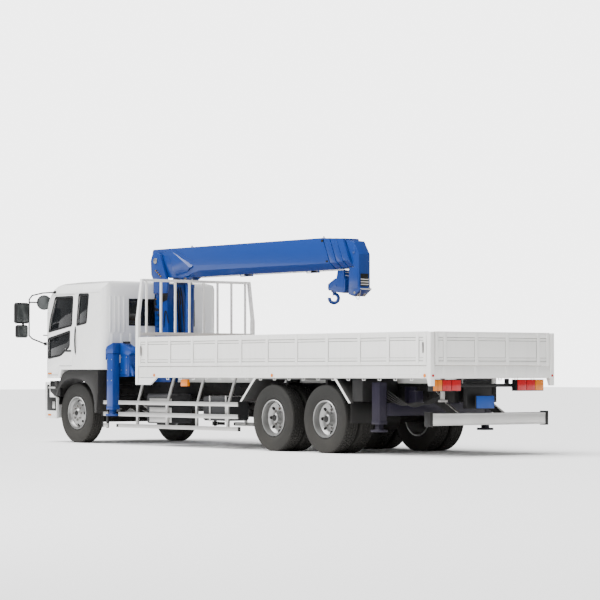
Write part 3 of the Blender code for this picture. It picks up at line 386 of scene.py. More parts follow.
def deck_wood():
    """Hardwood deck boards, with grain that runs along the bed."""
    found = bpy.data.materials.get("deck_wood")
    if found:
        return found
    made = finish("deck_wood", (0.16, 0.085, 0.045), 0.62, dust_and_shade=0.2, dust_and_shade_top=3.0, chip_level=0.66,
                  chip_colour=(0.07, 0.045, 0.03), grain=0.2, tint=0.3)
    tree = made.node_tree
    place = tree.nodes.new("ShaderNodeTexCoord")
    stretch = tree.nodes.new("ShaderNodeMapping")
    stretch.inputs["Scale"].default_value = (40.0, 1.2, 8.0)
    tree.links.new(place.outputs["Object"], stretch.inputs["Vector"])
    fibres = noise_node(tree, stretch.outputs[0], 1.0, 8.0)
    shader = tree.nodes["Principled BSDF"]
    ground = shader.inputs["Base Color"].links[0].from_socket
    tree.links.new(mix_colour(tree, fibres, ground, (0.25, 0.15, 0.085)), shader.inputs["Base Color"])
    return made


def seat_fabric():
    return finish("seat_fabric", (0.045, 0.048, 0.06), 0.9, dust_and_shade=0.0, grain_scale=900.0, grain=0.5, tint=0.2)


SLOT_FINISHES = {
    "white_paint": cab_paint, "crane_blue": crane_paint, "dark_violet": violet_paint,
    "chassis_black": chassis_paint, "fender_grey": fender_plastic, "rubber": tyre_rubber,
    "silver_paint": wheel_silver, "aluminium": aluminium, "glass": dark_glass, "trim_grey": cabin_plastic,
    "lamp_red": red_lens, "steel": steel,
}


# ---------------------------------------------------------------- mesh building
WELD = 0.00002


class Shape:
    """Gathers the solids of one piece."""

    def __init__(self):
        self.bm = bmesh.new()

    def box(self, x, ahead, z, turn=0.0):
        """Box from its ranges across, along and up, turned about X in degrees."""
        low = Vector((min(x), y_at(max(ahead)), min(z)))
        high = Vector((max(x), y_at(min(ahead)), max(z)))
        made = bmesh.ops.create_cube(self.bm, size=1.0)["verts"]
        size = high - low
        placing = Matrix.Translation((low + high) / 2) @ Matrix.Rotation(math.radians(turn), 4, "X")
        bmesh.ops.transform(self.bm, verts=made, matrix=placing @ Matrix.Diagonal((*size, 1.0)))
        return self

    def rod(self, start, end, radius, sides=14, end_radius=None):
        """Round bar or cone between two points."""
        start, end = Vector(start), Vector(end)
        axis = end - start
        made = bmesh.ops.create_cone(self.bm, cap_ends=True, segments=sides, radius1=radius,
                                     depth=axis.length,
                                     radius2=radius if end_radius is None else end_radius)["verts"]
        turn = axis.to_track_quat("Z", "Y").to_matrix().to_4x4()
        bmesh.ops.transform(self.bm, verts=made, matrix=Matrix.Translation((start + end) / 2) @ turn)
        return self

    def pipe(self, points, radius, smooth=True):
        """Bent round bar through the points."""
        curve = bpy.data.curves.new("pipe", "CURVE")
        curve.dimensions = "3D"
        curve.bevel_depth = radius
        curve.bevel_resolution = 2
        curve.use_fill_caps = True
        spline = curve.splines.new("NURBS" if smooth else "POLY")
        spline.points.add(len(points) - 1)
        for point, place in zip(spline.points, points):
            point.co = (*place, 1.0)
        if smooth:
            spline.order_u = min(3, len(points))
            spline.use_endpoint_u = True
            spline.resolution_u = 8
        obj = bpy.data.objects.new("pipe", curve)
        bpy.context.scene.collection.objects.link(obj)
        mesh = evaluated(obj)
        bpy.data.objects.remove(obj)
        self.bm.from_mesh(mesh)
        bpy.data.meshes.remove(mesh)
        return self

    def lathe(self, profile, centre, sides=64):
        """Solid turned about X from a closed outline of (x, radius) points."""
        lone = bmesh.new()
        start = [lone.verts.new((x, 0.0, -radius)) for x, radius in profile]
        edges = [lone.edges.new((start[i - 1], start[i])) for i in range(len(start))]
        bmesh.ops.spin(lone, geom=start + edges, cent=(0, 0, 0), axis=(1, 0, 0),
                       angle=2 * math.pi, steps=sides, use_merge=True)
        bmesh.ops.remove_doubles(lone, verts=lone.verts, dist=0.00001)
        bmesh.ops.recalc_face_normals(lone, faces=lone.faces)
        lone.transform(Matrix.Translation(centre))
        return self.add(lone)

    def add(self, other):
        """Take in the solids of another bmesh, which is used up."""
        mesh = bpy.data.meshes.new("added")
        other.to_mesh(mesh)
        other.free()
        self.bm.from_mesh(mesh)
        bpy.data.meshes.remove(mesh)
        return self

    def slab(self, points, x):
        """Side outline of (ahead, z) points, extruded from x[0] to x[1]."""
        face = self.bm.faces.new([self.bm.verts.new((x[0], y_at(ahead), z)) for ahead, z in points])
        grown = bmesh.ops.extrude_face_region(self.bm, geom=[face])["geom"]
        moved = [item for item in grown if isinstance(item, bmesh.types.BMVert)]
        bmesh.ops.translate(self.bm, verts=moved, vec=(x[1] - x[0], 0, 0))
        return self

    def wedge(self, points):
        """Closed solid around (x, ahead, z) points."""
        corners = [self.bm.verts.new(spot(*point)) for point in points]
        made = bmesh.ops.convex_hull(self.bm, input=corners)
        spare = [item for item in made["geom_interior"] if isinstance(item, bmesh.types.BMVert)]
        bmesh.ops.delete(self.bm, geom=spare, context="VERTS")
        return self

    def band(self, outer, inner, x):
        """Flat ring between two side outlines with the same number of (ahead, z) points."""
        loops = []
        for outline in (outer, inner):
            loops += [[self.bm.verts.new((place, y_at(ahead), z)) for ahead, z in outline] for place in x]
        count = len(outer)
        for first, second in ((0, 1), (2, 3), (0, 2), (1, 3)):
            for k in range(count):
                after = (k + 1) % count
                self.bm.faces.new((loops[first][k], loops[first][after], loops[second][after],
                                   loops[second][k]))
        return self

    def mesh(self, name):
        """Finished mesh; the gathered solids are used up."""
        bmesh.ops.remove_doubles(self.bm, verts=self.bm.verts, dist=WELD)
        bmesh.ops.recalc_face_normals(self.bm, faces=self.bm.faces)
        mesh = bpy.data.meshes.new(name)
        self.bm.to_mesh(mesh)
        self.bm.free()
        return mesh


def centred_box(across, along, up):
    """Box about the origin, to be repeated."""
    shape = Shape()
    made = bmesh.ops.create_cube(shape.bm, size=1.0)["verts"]
    bmesh.ops.transform(shape.bm, verts=made, matrix=Matrix.Diagonal((across, along, up, 1.0)))
    return shape


def evaluated(obj):
    """Plain mesh of an object with its modifiers applied."""
    bpy.context.view_layer.update()
    graph = bpy.context.evaluated_depsgraph_get()
    return bpy.data.meshes.new_from_object(obj.evaluated_get(graph))


def piece(name, mesh, material, body, bevel=0.0, segments=2, angle=35.0):
    """Finished piece: rounded edges applied, smooth shading, material, and the body it rides on."""
    obj = bpy.data.objects.new(name, mesh)
    bpy.context.scene.collection.objects.link(obj)
    if bevel:
        modifier = obj.modifiers.new("edges", "BEVEL")
        modifier.width = bevel
        modifier.segments = segments
        modifier.limit_method = "ANGLE"
        modifier.angle_limit = math.radians(30)
        rounded = evaluated(obj)
        obj.modifiers.clear()
        obj.data = rounded
    obj.data.materials.clear()
    obj.data.materials.append(material)
    obj.data.shade_smooth()
    obj.data.set_sharp_from_angle(angle=math.radians(angle))
    if body:
        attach(obj, body)
    return obj


def shaped(name, shape, material, body, bevel=0.0, **options):
    """Finished piece made of a Shape."""
    return piece(name, shape.mesh(name), material, body, bevel, **options)


def refined(node, material=None, bevel=None, segments=2):
    """Copy of a CAD node with welded faces, flat faces merged and its edges rounded, in place of the node."""
    bm = bmesh.new()
    bm.from_mesh(frame["nodes"][node].data)
    bm.transform(frame["nodes"][node].matrix_world)
    bmesh.ops.remove_doubles(bm, verts=bm.verts, dist=0.00005)
    bmesh.ops.dissolve_limit(bm, angle_limit=math.radians(0.6), verts=bm.verts, edges=bm.edges)
    mesh = bpy.data.meshes.new(node + "_skin")
    bm.to_mesh(mesh)
    bm.free()
    width = detail().edge_round if bevel is None else bevel
    slot = NODE_SLOTS[node]
    obj = piece(node + "_skin", mesh, material or SLOT_FINISHES[slot](), NODE_BODIES[node], width, segments)
    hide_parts(node)
    return obj


# ---------------------------------------------------------------- repeated pieces
def array_tree(name, ring):
    """Geometry Nodes tree that repeats its mesh along a line, or turned about X round a centre."""
    tree = bpy.data.node_groups.new(name, "GeometryNodeTree")
    face = tree.interface
    face.new_socket(name="Geometry", in_out="INPUT", socket_type="NodeSocketGeometry")
    face.new_socket(name="Count", in_out="INPUT", socket_type="NodeSocketInt")
    face.new_socket(name="Place", in_out="INPUT", socket_type="NodeSocketVector")
    face.new_socket(name="Step", in_out="INPUT", socket_type="NodeSocketVector")
    face.new_socket(name="Finish", in_out="INPUT", socket_type="NodeSocketMaterial")
    face.new_socket(name="Geometry", in_out="OUTPUT", socket_type="NodeSocketGeometry")
    nodes, links = tree.nodes, tree.links
    source, sink = nodes.new("NodeGroupInput"), nodes.new("NodeGroupOutput")
    line = nodes.new("GeometryNodeMeshLine")
    links.new(source.outputs["Count"], line.inputs["Count"])
    links.new(source.outputs["Place"], line.inputs["Start Location"])
    copies = nodes.new("GeometryNodeInstanceOnPoints")
    links.new(line.outputs["Mesh"], copies.inputs["Points"])
    links.new(source.outputs["Geometry"], copies.inputs["Instance"])
    if ring:
        line.inputs["Offset"].default_value = (0, 0, 0)
        index = nodes.new("GeometryNodeInputIndex")
        turn = nodes.new("ShaderNodeVectorMath")
        turn.operation = "SCALE"
        links.new(source.outputs["Step"], turn.inputs[0])
        links.new(index.outputs[0], turn.inputs["Scale"])
        links.new(turn.outputs[0], copies.inputs["Rotation"])
    else:
        links.new(source.outputs["Step"], line.inputs["Offset"])
    real = nodes.new("GeometryNodeRealizeInstances")
    links.new(copies.outputs["Instances"], real.inputs["Geometry"])
    coat = nodes.new("GeometryNodeSetMaterial")
    links.new(real.outputs["Geometry"], coat.inputs["Geometry"])
    links.new(source.outputs["Finish"], coat.inputs["Material"])
    links.new(coat.outputs["Geometry"], sink.inputs["Geometry"])
    return tree


def repeated(name, shape, material, body, count, place, step, ring=False, bevel=0.0):
    """The shape repeated by Geometry Nodes and turned into one plain piece."""
    tree_name = "Ring Array" if ring else "Line Array"
    tree = bpy.data.node_groups.get(tree_name) or array_tree(tree_name, ring)
    obj = piece(name, shape.mesh(name), material, None, bevel)
    modifier = obj.modifiers.new("repeat", "NODES")
    modifier.node_group = tree
    sockets = {item.name: item.identifier for item in tree.interface.items_tree if item.in_out == "INPUT"}
    modifier[sockets["Count"]] = count
    modifier[sockets["Place"]] = tuple(place)
    modifier[sockets["Step"]] = tuple(step)
    modifier[sockets["Finish"]] = material
    mesh = evaluated(obj)
    obj.modifiers.clear()
    obj.data = mesh
    obj.data.set_sharp_from_angle(angle=math.radians(35))
    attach(obj, body)
    return obj


# ---------------------------------------------------------------- wheels
def tyre_section(outer, width):
    """Closed section of a road tyre, with a bulged sidewall and four tread grooves."""
    inner = outer - width
    bead, shoulder = RIM_RADIUS + 0.006, TYRE_RADIUS - 0.03
    side = []
    for k in range(9):
        t = k / 8
        bulge = 0.033 * (1 - math.sin(math.pi * min(t * 0.95 + 0.02, 1.0)) ** 0.7)
        ridge = 0.0022 if k in (2, 6) else 0.0
        side.append((bulge * (1.0 if t < 0.5 else 0.45) + 0.001 - ridge * 0.4, bead + (shoulder - bead) * t))
    tread = [(0.024, TYRE_RADIUS - 0.012), (0.034, TYRE_RADIUS - 0.0105)]
    groove_width, groove_depth = 0.009, 0.010
    for groove in (-0.072, -0.026, 0.026, 0.072):
        left = width / 2 + groove - groove_width / 2
        tread += [(left, TYRE_RADIUS - 0.0105), (left + 0.002, TYRE_RADIUS - 0.0105 - groove_depth),
                  (left + groove_width - 0.002, TYRE_RADIUS - 0.0105 - groove_depth),
                  (left + groove_width, TYRE_RADIUS - 0.0105)]
    tread += [(width - 0.034, TYRE_RADIUS - 0.0105), (width - 0.024, TYRE_RADIUS - 0.012)]
    half = [(outer - depth, radius) for depth, radius in side]
    far = [(inner + depth, radius) for depth, radius in reversed(side)]
    return half + [(outer - across, radius) for across, radius in tread] + far


def tread_row(outer, width):
    """One row of tread blocks across a tyre, at its lowest point."""
    shape = Shape()
    pitch = 2 * math.pi * TYRE_RADIUS / detail().tread_blocks
    edges = (-0.105, -0.078, -0.067, -0.032, -0.020, 0.020, 0.032, 0.067, 0.078, 0.105)
    for k in range(5):
        low, high = (outer - width / 2 + edge for edge in edges[2 * k:2 * k + 2])
        shift = 0.25 * pitch * (k % 2)
        made = bmesh.ops.create_cube(shape.bm, size=1.0)["verts"]
        size = (high - low, pitch * 0.80, 0.014)
        middle = ((low + high) / 2, shift, -(TYRE_RADIUS - 0.0085))
        placing = Matrix.Translation(middle) @ Matrix.Diagonal((*size, 1.0))
        bmesh.ops.transform(shape.bm, verts=made, matrix=placing)
    return shape


def build_tyre(name, sign, outers, ahead, body, node):
    """Road tyres that share an axle end: smooth carcasses and their tread blocks."""
    centre = spot(0, ahead, AXLE_Z)
    carcass = Shape()
    treads = Shape()
    for outer in outers:
        carcass.lathe([(sign * x, r) for x, r in tyre_section(outer, TYRE_WIDTH)], centre, 96)
        row = tread_row(outer, TYRE_WIDTH)
        row.bm.transform(Matrix.Scale(sign, 4, (1, 0, 0)))
        treads.add(row.bm)
    obj = shaped(name, carcass, tyre_rubber(), body, angle=30)
    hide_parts(node)
    count = detail().tread_blocks
    repeated(name + "_tread", treads, tyre_rubber(), body, count, centre, (2 * math.pi / count, 0, 0),
             ring=True)


def wheel_disc(section, sign, centre, holes, hole_radius, hole_ring, hole_x):
    """Turned wheel with a ring of round holes cut in its disc."""
    obj = piece("wheel", Shape().lathe([(sign * x, r) for x, r in section], centre, 64).mesh("wheel"),
                wheel_silver(), None)
    drills = Shape()
    for k in range(holes):
        turn = 2 * math.pi * k / holes
        middle = centre + Vector((0, hole_ring * math.sin(turn), hole_ring * math.cos(turn)))
        drills.rod(middle + Vector((sign * (hole_x - 0.10), 0, 0)),
                   middle + Vector((sign * (hole_x + 0.06), 0, 0)),
                   hole_radius, 20)
    cutter = piece("drills", drills.mesh("drills"), wheel_silver(), None)
    modifier = obj.modifiers.new("holes", "BOOLEAN")
    modifier.operation = "DIFFERENCE"
    modifier.object = cutter
    mesh = evaluated(obj)
    bpy.data.objects.remove(obj)
    bpy.data.objects.remove(cutter)
    return mesh


def nut_ring(name, sign, x, ring_radius, centre, body):
    """Wheel nuts with their washers and studs, in a ring about the axle."""
    count = detail().wheel_nuts
    nut = Shape().rod((sign * x, 0, -ring_radius), (sign * (x + 0.022), 0, -ring_radius), 0.019, 6)
    nut.rod((sign * (x + 0.02), 0, -ring_radius), (sign * (x + 0.03), 0, -ring_radius), 0.010, 10)
    nut.rod((sign * (x - 0.002), 0, -ring_radius), (sign * (x + 0.004), 0, -ring_radius), 0.024, 16)
    repeated(name, nut, steel(), body, count, centre, (2 * math.pi / count, 0, 0), ring=True)


def front_wheel_section(outer):
    rim = RIM_RADIUS
    return [(outer - 0.018, rim - 0.022), (outer - 0.016, rim - 0.006), (outer - 0.022, rim),
            (outer - 0.05, rim - 0.010), (outer - 0.10, rim - 0.014), (outer - 0.235, rim - 0.008),
            (outer - 0.255, rim), (outer - 0.255, rim - 0.022), (outer - 0.10, rim - 0.038),
            (outer - 0.088, 0.20), (outer - 0.060, 0.15), (outer - 0.060, 0.096), (outer - 0.12, 0.09),
            (outer - 0.12, 0.0), (outer - 0.012, 0.0), (outer - 0.010, 0.062), (outer - 0.024, 0.078),
            (outer - 0.034, 0.094), (outer - 0.036, 0.165), (outer - 0.048, 0.200), (outer - 0.072, 0.228),
            (outer - 0.075, rim - 0.050), (outer - 0.060, rim - 0.036)]


def rear_wheel_section(outer):
    rim, disc = RIM_RADIUS, outer - 0.155
    return [(outer - 0.018, rim - 0.022), (outer - 0.016, rim - 0.006), (outer - 0.022, rim),
            (outer - 0.56, rim), (outer - 0.56, rim - 0.022), (disc - 0.05, rim - 0.030), (disc - 0.03, 0.20),
            (disc - 0.03, 0.075), (disc + 0.02, 0.075), (disc + 0.02, 0.0), (outer - 0.050, 0.0),
            (outer - 0.048, 0.055), (outer - 0.060, 0.075), (disc + 0.030, 0.088), (disc + 0.002, 0.110),
            (disc, 0.19), (disc + 0.012, 0.215), (outer - 0.115, rim - 0.040), (outer - 0.045, rim - 0.030)]


class TRUCK_OT_wheels(bpy.types.Operator):
    """Build the tyres, wheels, nuts and hubs"""
    bl_idname = "truck.wheels"
    bl_label = "Wheels and Tyres"

    def execute(self, context):
        front_centre = spot(0, BED_REAR_Y - (TYRE_LOW.y + TYRE_HIGH.y) / 2, AXLE_Z)
        for side in SIDES:
            sign, outer = SIGNS[side], TYRE_HIGH.x
            body = f"front_wheel_{side}"
            ahead = BED_REAR_Y - front_centre.y
            build_tyre(f"front_tyre_{side}_road", sign, (outer,), ahead, body, f"front_tyre_{side}")
            mesh = wheel_disc(front_wheel_section(outer), sign, front_centre, 8, 0.027, 0.208,
                              outer - 0.08)
            wheel = piece(f"front_wheel_{side}_disc", mesh, wheel_silver(), body, angle=28)
            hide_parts(f"front_wheel_{side}")
            nut_ring(f"front_nuts_{side}", sign, outer - 0.037, 0.120, front_centre, body)
            hub = Shape().lathe([(sign * x, r) for x, r in ((outer - 0.013, 0.0), (outer - 0.013, 0.045),
                                (outer - 0.002, 0.042), (outer + 0.002, 0.0))], front_centre, 32)
            shaped(f"front_hub_cap_{side}", hub, black_trim(), body)
            for number in (1, 2):
                self.rear(side, number)
        return {"FINISHED"}

    def rear(self, side, number):
        sign, body = SIGNS[side], f"rear_wheels_{number}_{side}"
        low, high = (Vector(corner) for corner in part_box(f"rear_tyres_{number}_left"))
        ahead = BED_REAR_Y - (low.y + high.y) / 2
        outer = high.x
        inner_outer = low.x + TYRE_WIDTH
        build_tyre(f"rear_tyres_{number}_{side}_road", sign, (outer, inner_outer), ahead, body,
                   f"rear_tyres_{number}_{side}")
        centre = spot(0, ahead, AXLE_Z)
        mesh = wheel_disc(rear_wheel_section(outer), sign, centre, 8, 0.028, 0.205, outer - 0.155)
        wheel = piece(f"rear_wheel_{number}_{side}_disc", mesh, wheel_silver(), body, angle=28)
        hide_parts(f"rear_wheel_{number}_{side}")
        nut_ring(f"rear_nuts_{number}_{side}", sign, outer - 0.156, 0.143, centre, body)
        hub = Shape().lathe([(sign * x, r) for x, r in ((outer - 0.051, 0.0), (outer - 0.051, 0.052),
                            (outer - 0.045, 0.052), (outer - 0.04, 0.0))], centre, 32)
        shaped(f"hub_cap_{number}_{side}", hub, black_trim(), body)


# ---------------------------------------------------------------- chassis
class TRUCK_OT_chassis(bpy.types.Operator):
    """Build the frame, axles, guards, tank, boxes and bumpers"""
    bl_idname = "truck.chassis"
    bl_label = "Chassis"

    def execute(self, context):
        for node in ("chassis_frame", "engine", "front_axle", "rear_bogie", "knuckle_left", "knuckle_right"):
            refined(node, bevel=0.004)
        for node in ("front_fender_left", "front_fender_right", "rear_mudguards"):
            refined(node, bevel=0.006)
        refined("front_bumper", bevel=0.012, segments=3)
        refined("fuel_tank", bevel=0.006)
        refined("battery_and_silencer", bevel=0.008)
        refined("rear_bumper", bevel=0.004)
        self.bumper_arms()
        for side in SIDES:
            refined(f"side_guard_{side}", bevel=0.006, segments=3)
        self.rail_bolts()
        self.left_boxes()
        self.tank_fittings()
        self.mudguard_stays()
        self.bumper_caps()
        self.rear_end_fittings()
        self.front_bumper_sides()
        self.steps_and_air_tanks()
        return {"FINISHED"}

    def bumper_arms(self):
        """Dark plates over the arms that carry the rear bumper."""
        arms = Shape()
        arm = [(0.21, 0.50), (0.21, 0.60), (0.55, 0.79), (0.80, 0.99), (0.92, 0.99), (0.90, 0.85),
               (0.62, 0.70)]
        for sign in (-1, 1):
            for low, high in ((0.4265, 0.4295), (0.4805, 0.4835)):
                arms.slab(arm, (sign * low, sign * high))
            arms.box((sign * 0.428, sign * 0.482), (0.2005, 0.2035), (0.47, 0.63))
        shaped("bumper_arm_plates", arms, chassis_paint(), "chassis", 0.001)

    def rail_bolts(self):
        for side in reversed(SIDES):
            sign = SIGNS[side]
            for row, z in enumerate((0.86, 1.00)):
                bolt = Shape().rod((0, 0, 0), (sign * 0.012, 0, 0), detail().bolt_radius, 6)
                repeated(f"rail_bolts_{side}_{row}", bolt, chassis_paint(), "chassis", 46,
                         spot(sign * 0.4245, 9.4, z), (0, 0.195, 0))

    def left_boxes(self):
        slats = Shape()
        for z in (0.40, 0.55, 0.70):
            slats.box((1.118, 1.128), (6.68, 7.32), (z, z + 0.10))
        shaped("silencer_slats", slats, aluminium(), "chassis", 0.003)
        bands = Shape()
        for ahead in (5.14, 5.58):
            bands.box((0.66, 1.126), (ahead, ahead + 0.035), (0.842, 0.856))
            bands.box((1.117, 1.126), (ahead, ahead + 0.035), (0.44, 0.856))
        shaped("battery_bands", bands, aluminium(), "chassis", 0.002)
        pipe = Shape().pipe([spot(0.9, 7.34, 0.6), spot(0.9, 7.6, 0.6), spot(0.7, 7.9, 0.62),
                             spot(0.36, 8.6, 0.7)], 0.045)
        shaped("exhaust_pipe", pipe, steel(), "chassis")

    def tank_fittings(self):
        cap = Shape().rod(spot(-0.95, 6.3, 0.86), spot(-0.95, 6.3, 0.91), 0.05, 24)
        shaped("fuel_cap", cap, black_trim(), "chassis", 0.004)
        straps = Shape()
        for ahead in (5.39, 6.19):
            straps.box((-1.126, -1.117), (ahead - 0.03, ahead + 0.03), (0.42, 0.78))
            straps.box((-1.04, -0.62), (ahead - 0.03, ahead + 0.03), (0.857, 0.866))
        shaped("tank_straps", straps, steel(), "chassis", 0.002)

    def mudguard_stays(self):
        for side in SIDES:
            sign, stays = SIGNS[side], Shape()
            for low, high in ((4.61, 4.24), (1.87, 2.22)):
                lean = 0.025 if high < low else -0.025
                stays.slab([(low - lean, 0.773), (low + lean, 0.773), (high + lean, 1.148),
                            (high - lean, 1.148)],
                           (sign * 1.2262, sign * 1.2322))
            shaped(f"mudguard_stays_{side}", stays, bed_paint(), "chassis", 0.002)

    def bumper_caps(self):
        caps = Shape()
        for sign in (-1, 1):
            caps.box((sign * 1.135, sign * 1.19), (0.072, 0.208), (0.445, 0.66))
        shaped("bumper_caps", caps, black_trim(), "chassis", 0.006)
        groove = Shape()
        for z in ((0.47, 0.486), (0.614, 0.63)):
            groove.box((-1.13, 1.13), (0.0765, 0.0815), z)
        shaped("bumper_lines", groove, aluminium(), "chassis")
        plate = Shape().box((-0.085, 0.267), (0.084, 0.092), (0.707, 0.889))
        shaped("blank_plate", plate, plate_blue(), "chassis", 0.003)
        holder = Shape().box((-0.10, 0.282), (0.093, 0.104), (0.695, 0.90))
        holder.box((-0.16, 0.34), (0.22, 0.30), (0.70, 1.14))
        shaped("plate_holder", holder, black_trim(), "chassis", 0.003)

    def front_bumper_sides(self):
        for side in SIDES:
            sign, recess = SIGNS[side], Shape()
            recess.box((sign * 1.2255, sign * 1.2305), (10.09, 10.385), (0.56, 0.795))
            recess.slab([(10.30, 0.795), (10.385, 0.795), (10.385, 1.02), (10.31, 1.02)],
                        (sign * 1.2255, sign * 1.2305))
            recess.box((sign * 1.165, sign * 1.215), (9.98, 10.30), (0.82, 1.06))
            shaped(f"bumper_recess_{side}", recess, black_trim(), "chassis", 0.004)
            step = Shape().box((sign * 1.222, sign * 1.236), (10.11, 10.34), (0.955, 0.985))
            step.box((sign * 1.2305, sign * 1.234), (10.12, 10.20), (0.60, 0.72))
            shaped(f"bumper_trim_{side}", step, aluminium(), "chassis", 0.003)

    def rear_end_fittings(self):
        flaps = Shape()
        for sign in (-1, 1):
            flaps.box((sign * 0.66, sign * 1.222), (1.845, 1.855), (0.47, 0.80))
            flaps.box((sign * 0.50, sign * 1.20), (1.60, 1.84), (0.80, 1.145))
        shaped("mudflaps", flaps, rubber_hose(), "chassis", 0.002)
        hoses = Shape()
        for k in range(4):
            lift = 0.035 * k
            hoses.pipe([spot(0.98, 1.30 - 0.01 * k, 0.86 + lift), spot(0.92, 1.05, 0.72 + lift),
                        spot(0.80, 0.86, 0.80 - lift), spot(0.62, 0.70, 0.74 + lift),
                        spot(0.50, 0.50, 0.90)], 0.011)
            hoses.pipe([spot(-0.98, 1.30, 0.86 + lift), spot(-0.80, 0.95, 0.76 + lift),
                        spot(-0.50, 0.60, 0.92)], 0.011)
        shaped("rear_hoses", hoses, rubber_hose(), "chassis")
        bracket = Shape().box((0.70, 0.76), (0.30, 0.34), (0.80, 1.15))
        bracket.box((0.66, 0.80), (0.28, 0.345), (0.80, 0.835))
        shaped("silver_bracket", bracket, steel(), "chassis", 0.003)
        valves = Shape().box((0.56, 0.70), (0.95, 1.12), (0.78, 0.96))
        valves.box((-0.25, 0.20), (1.60, 1.78), (0.80, 1.05))
        shaped("rear_valve_block", valves, violet_paint(), "chassis", 0.006)

    def steps_and_air_tanks(self):
        tanks = Shape()
        for ahead in (6.9, 7.5):
            tanks.rod(spot(-0.66, ahead - 0.24, 0.60), spot(-0.66, ahead + 0.24, 0.60), 0.13, 28)
        shaped("air_tanks", tanks, chassis_paint(), "chassis", 0.02, segments=3)
        treads = Shape()
        for sign in (-1, 1):
            treads.box((sign * 1.02, sign * 1.223), (10.15, 10.27), (1.082, 1.0905))
        shaped("step_treads", treads, aluminium(), "chassis", 0.002)


# ---------------------------------------------------------------- bed
STILES_AT = (7.25, 6.584, 5.936, 5.264, 4.61, 3.915, 3.165, 2.408, 1.638, 0.965, 0.302)
TAIL_STILES_X = (0.958, 0.338, -0.284, -0.92)
STILE_HALF = 0.030
GATE_LOW, GATE_HIGH = 1.342, 1.836
GATE_CAP_LOW, GATE_FOOT_HIGH = 1.756, 1.396
GATE_BEADS_Z = (1.418, 1.440, 1.712, 1.734)
# Heights of the painted shadow lines beside the beads and rails.
GATE_SHADOW_LINES_Z = (1.404, 1.450, 1.704, 1.746)
HINGE_Z, HINGE_HALF, HINGE_RADIUS = 1.349, 0.045, 0.0075
DECK_RISE = 0.295


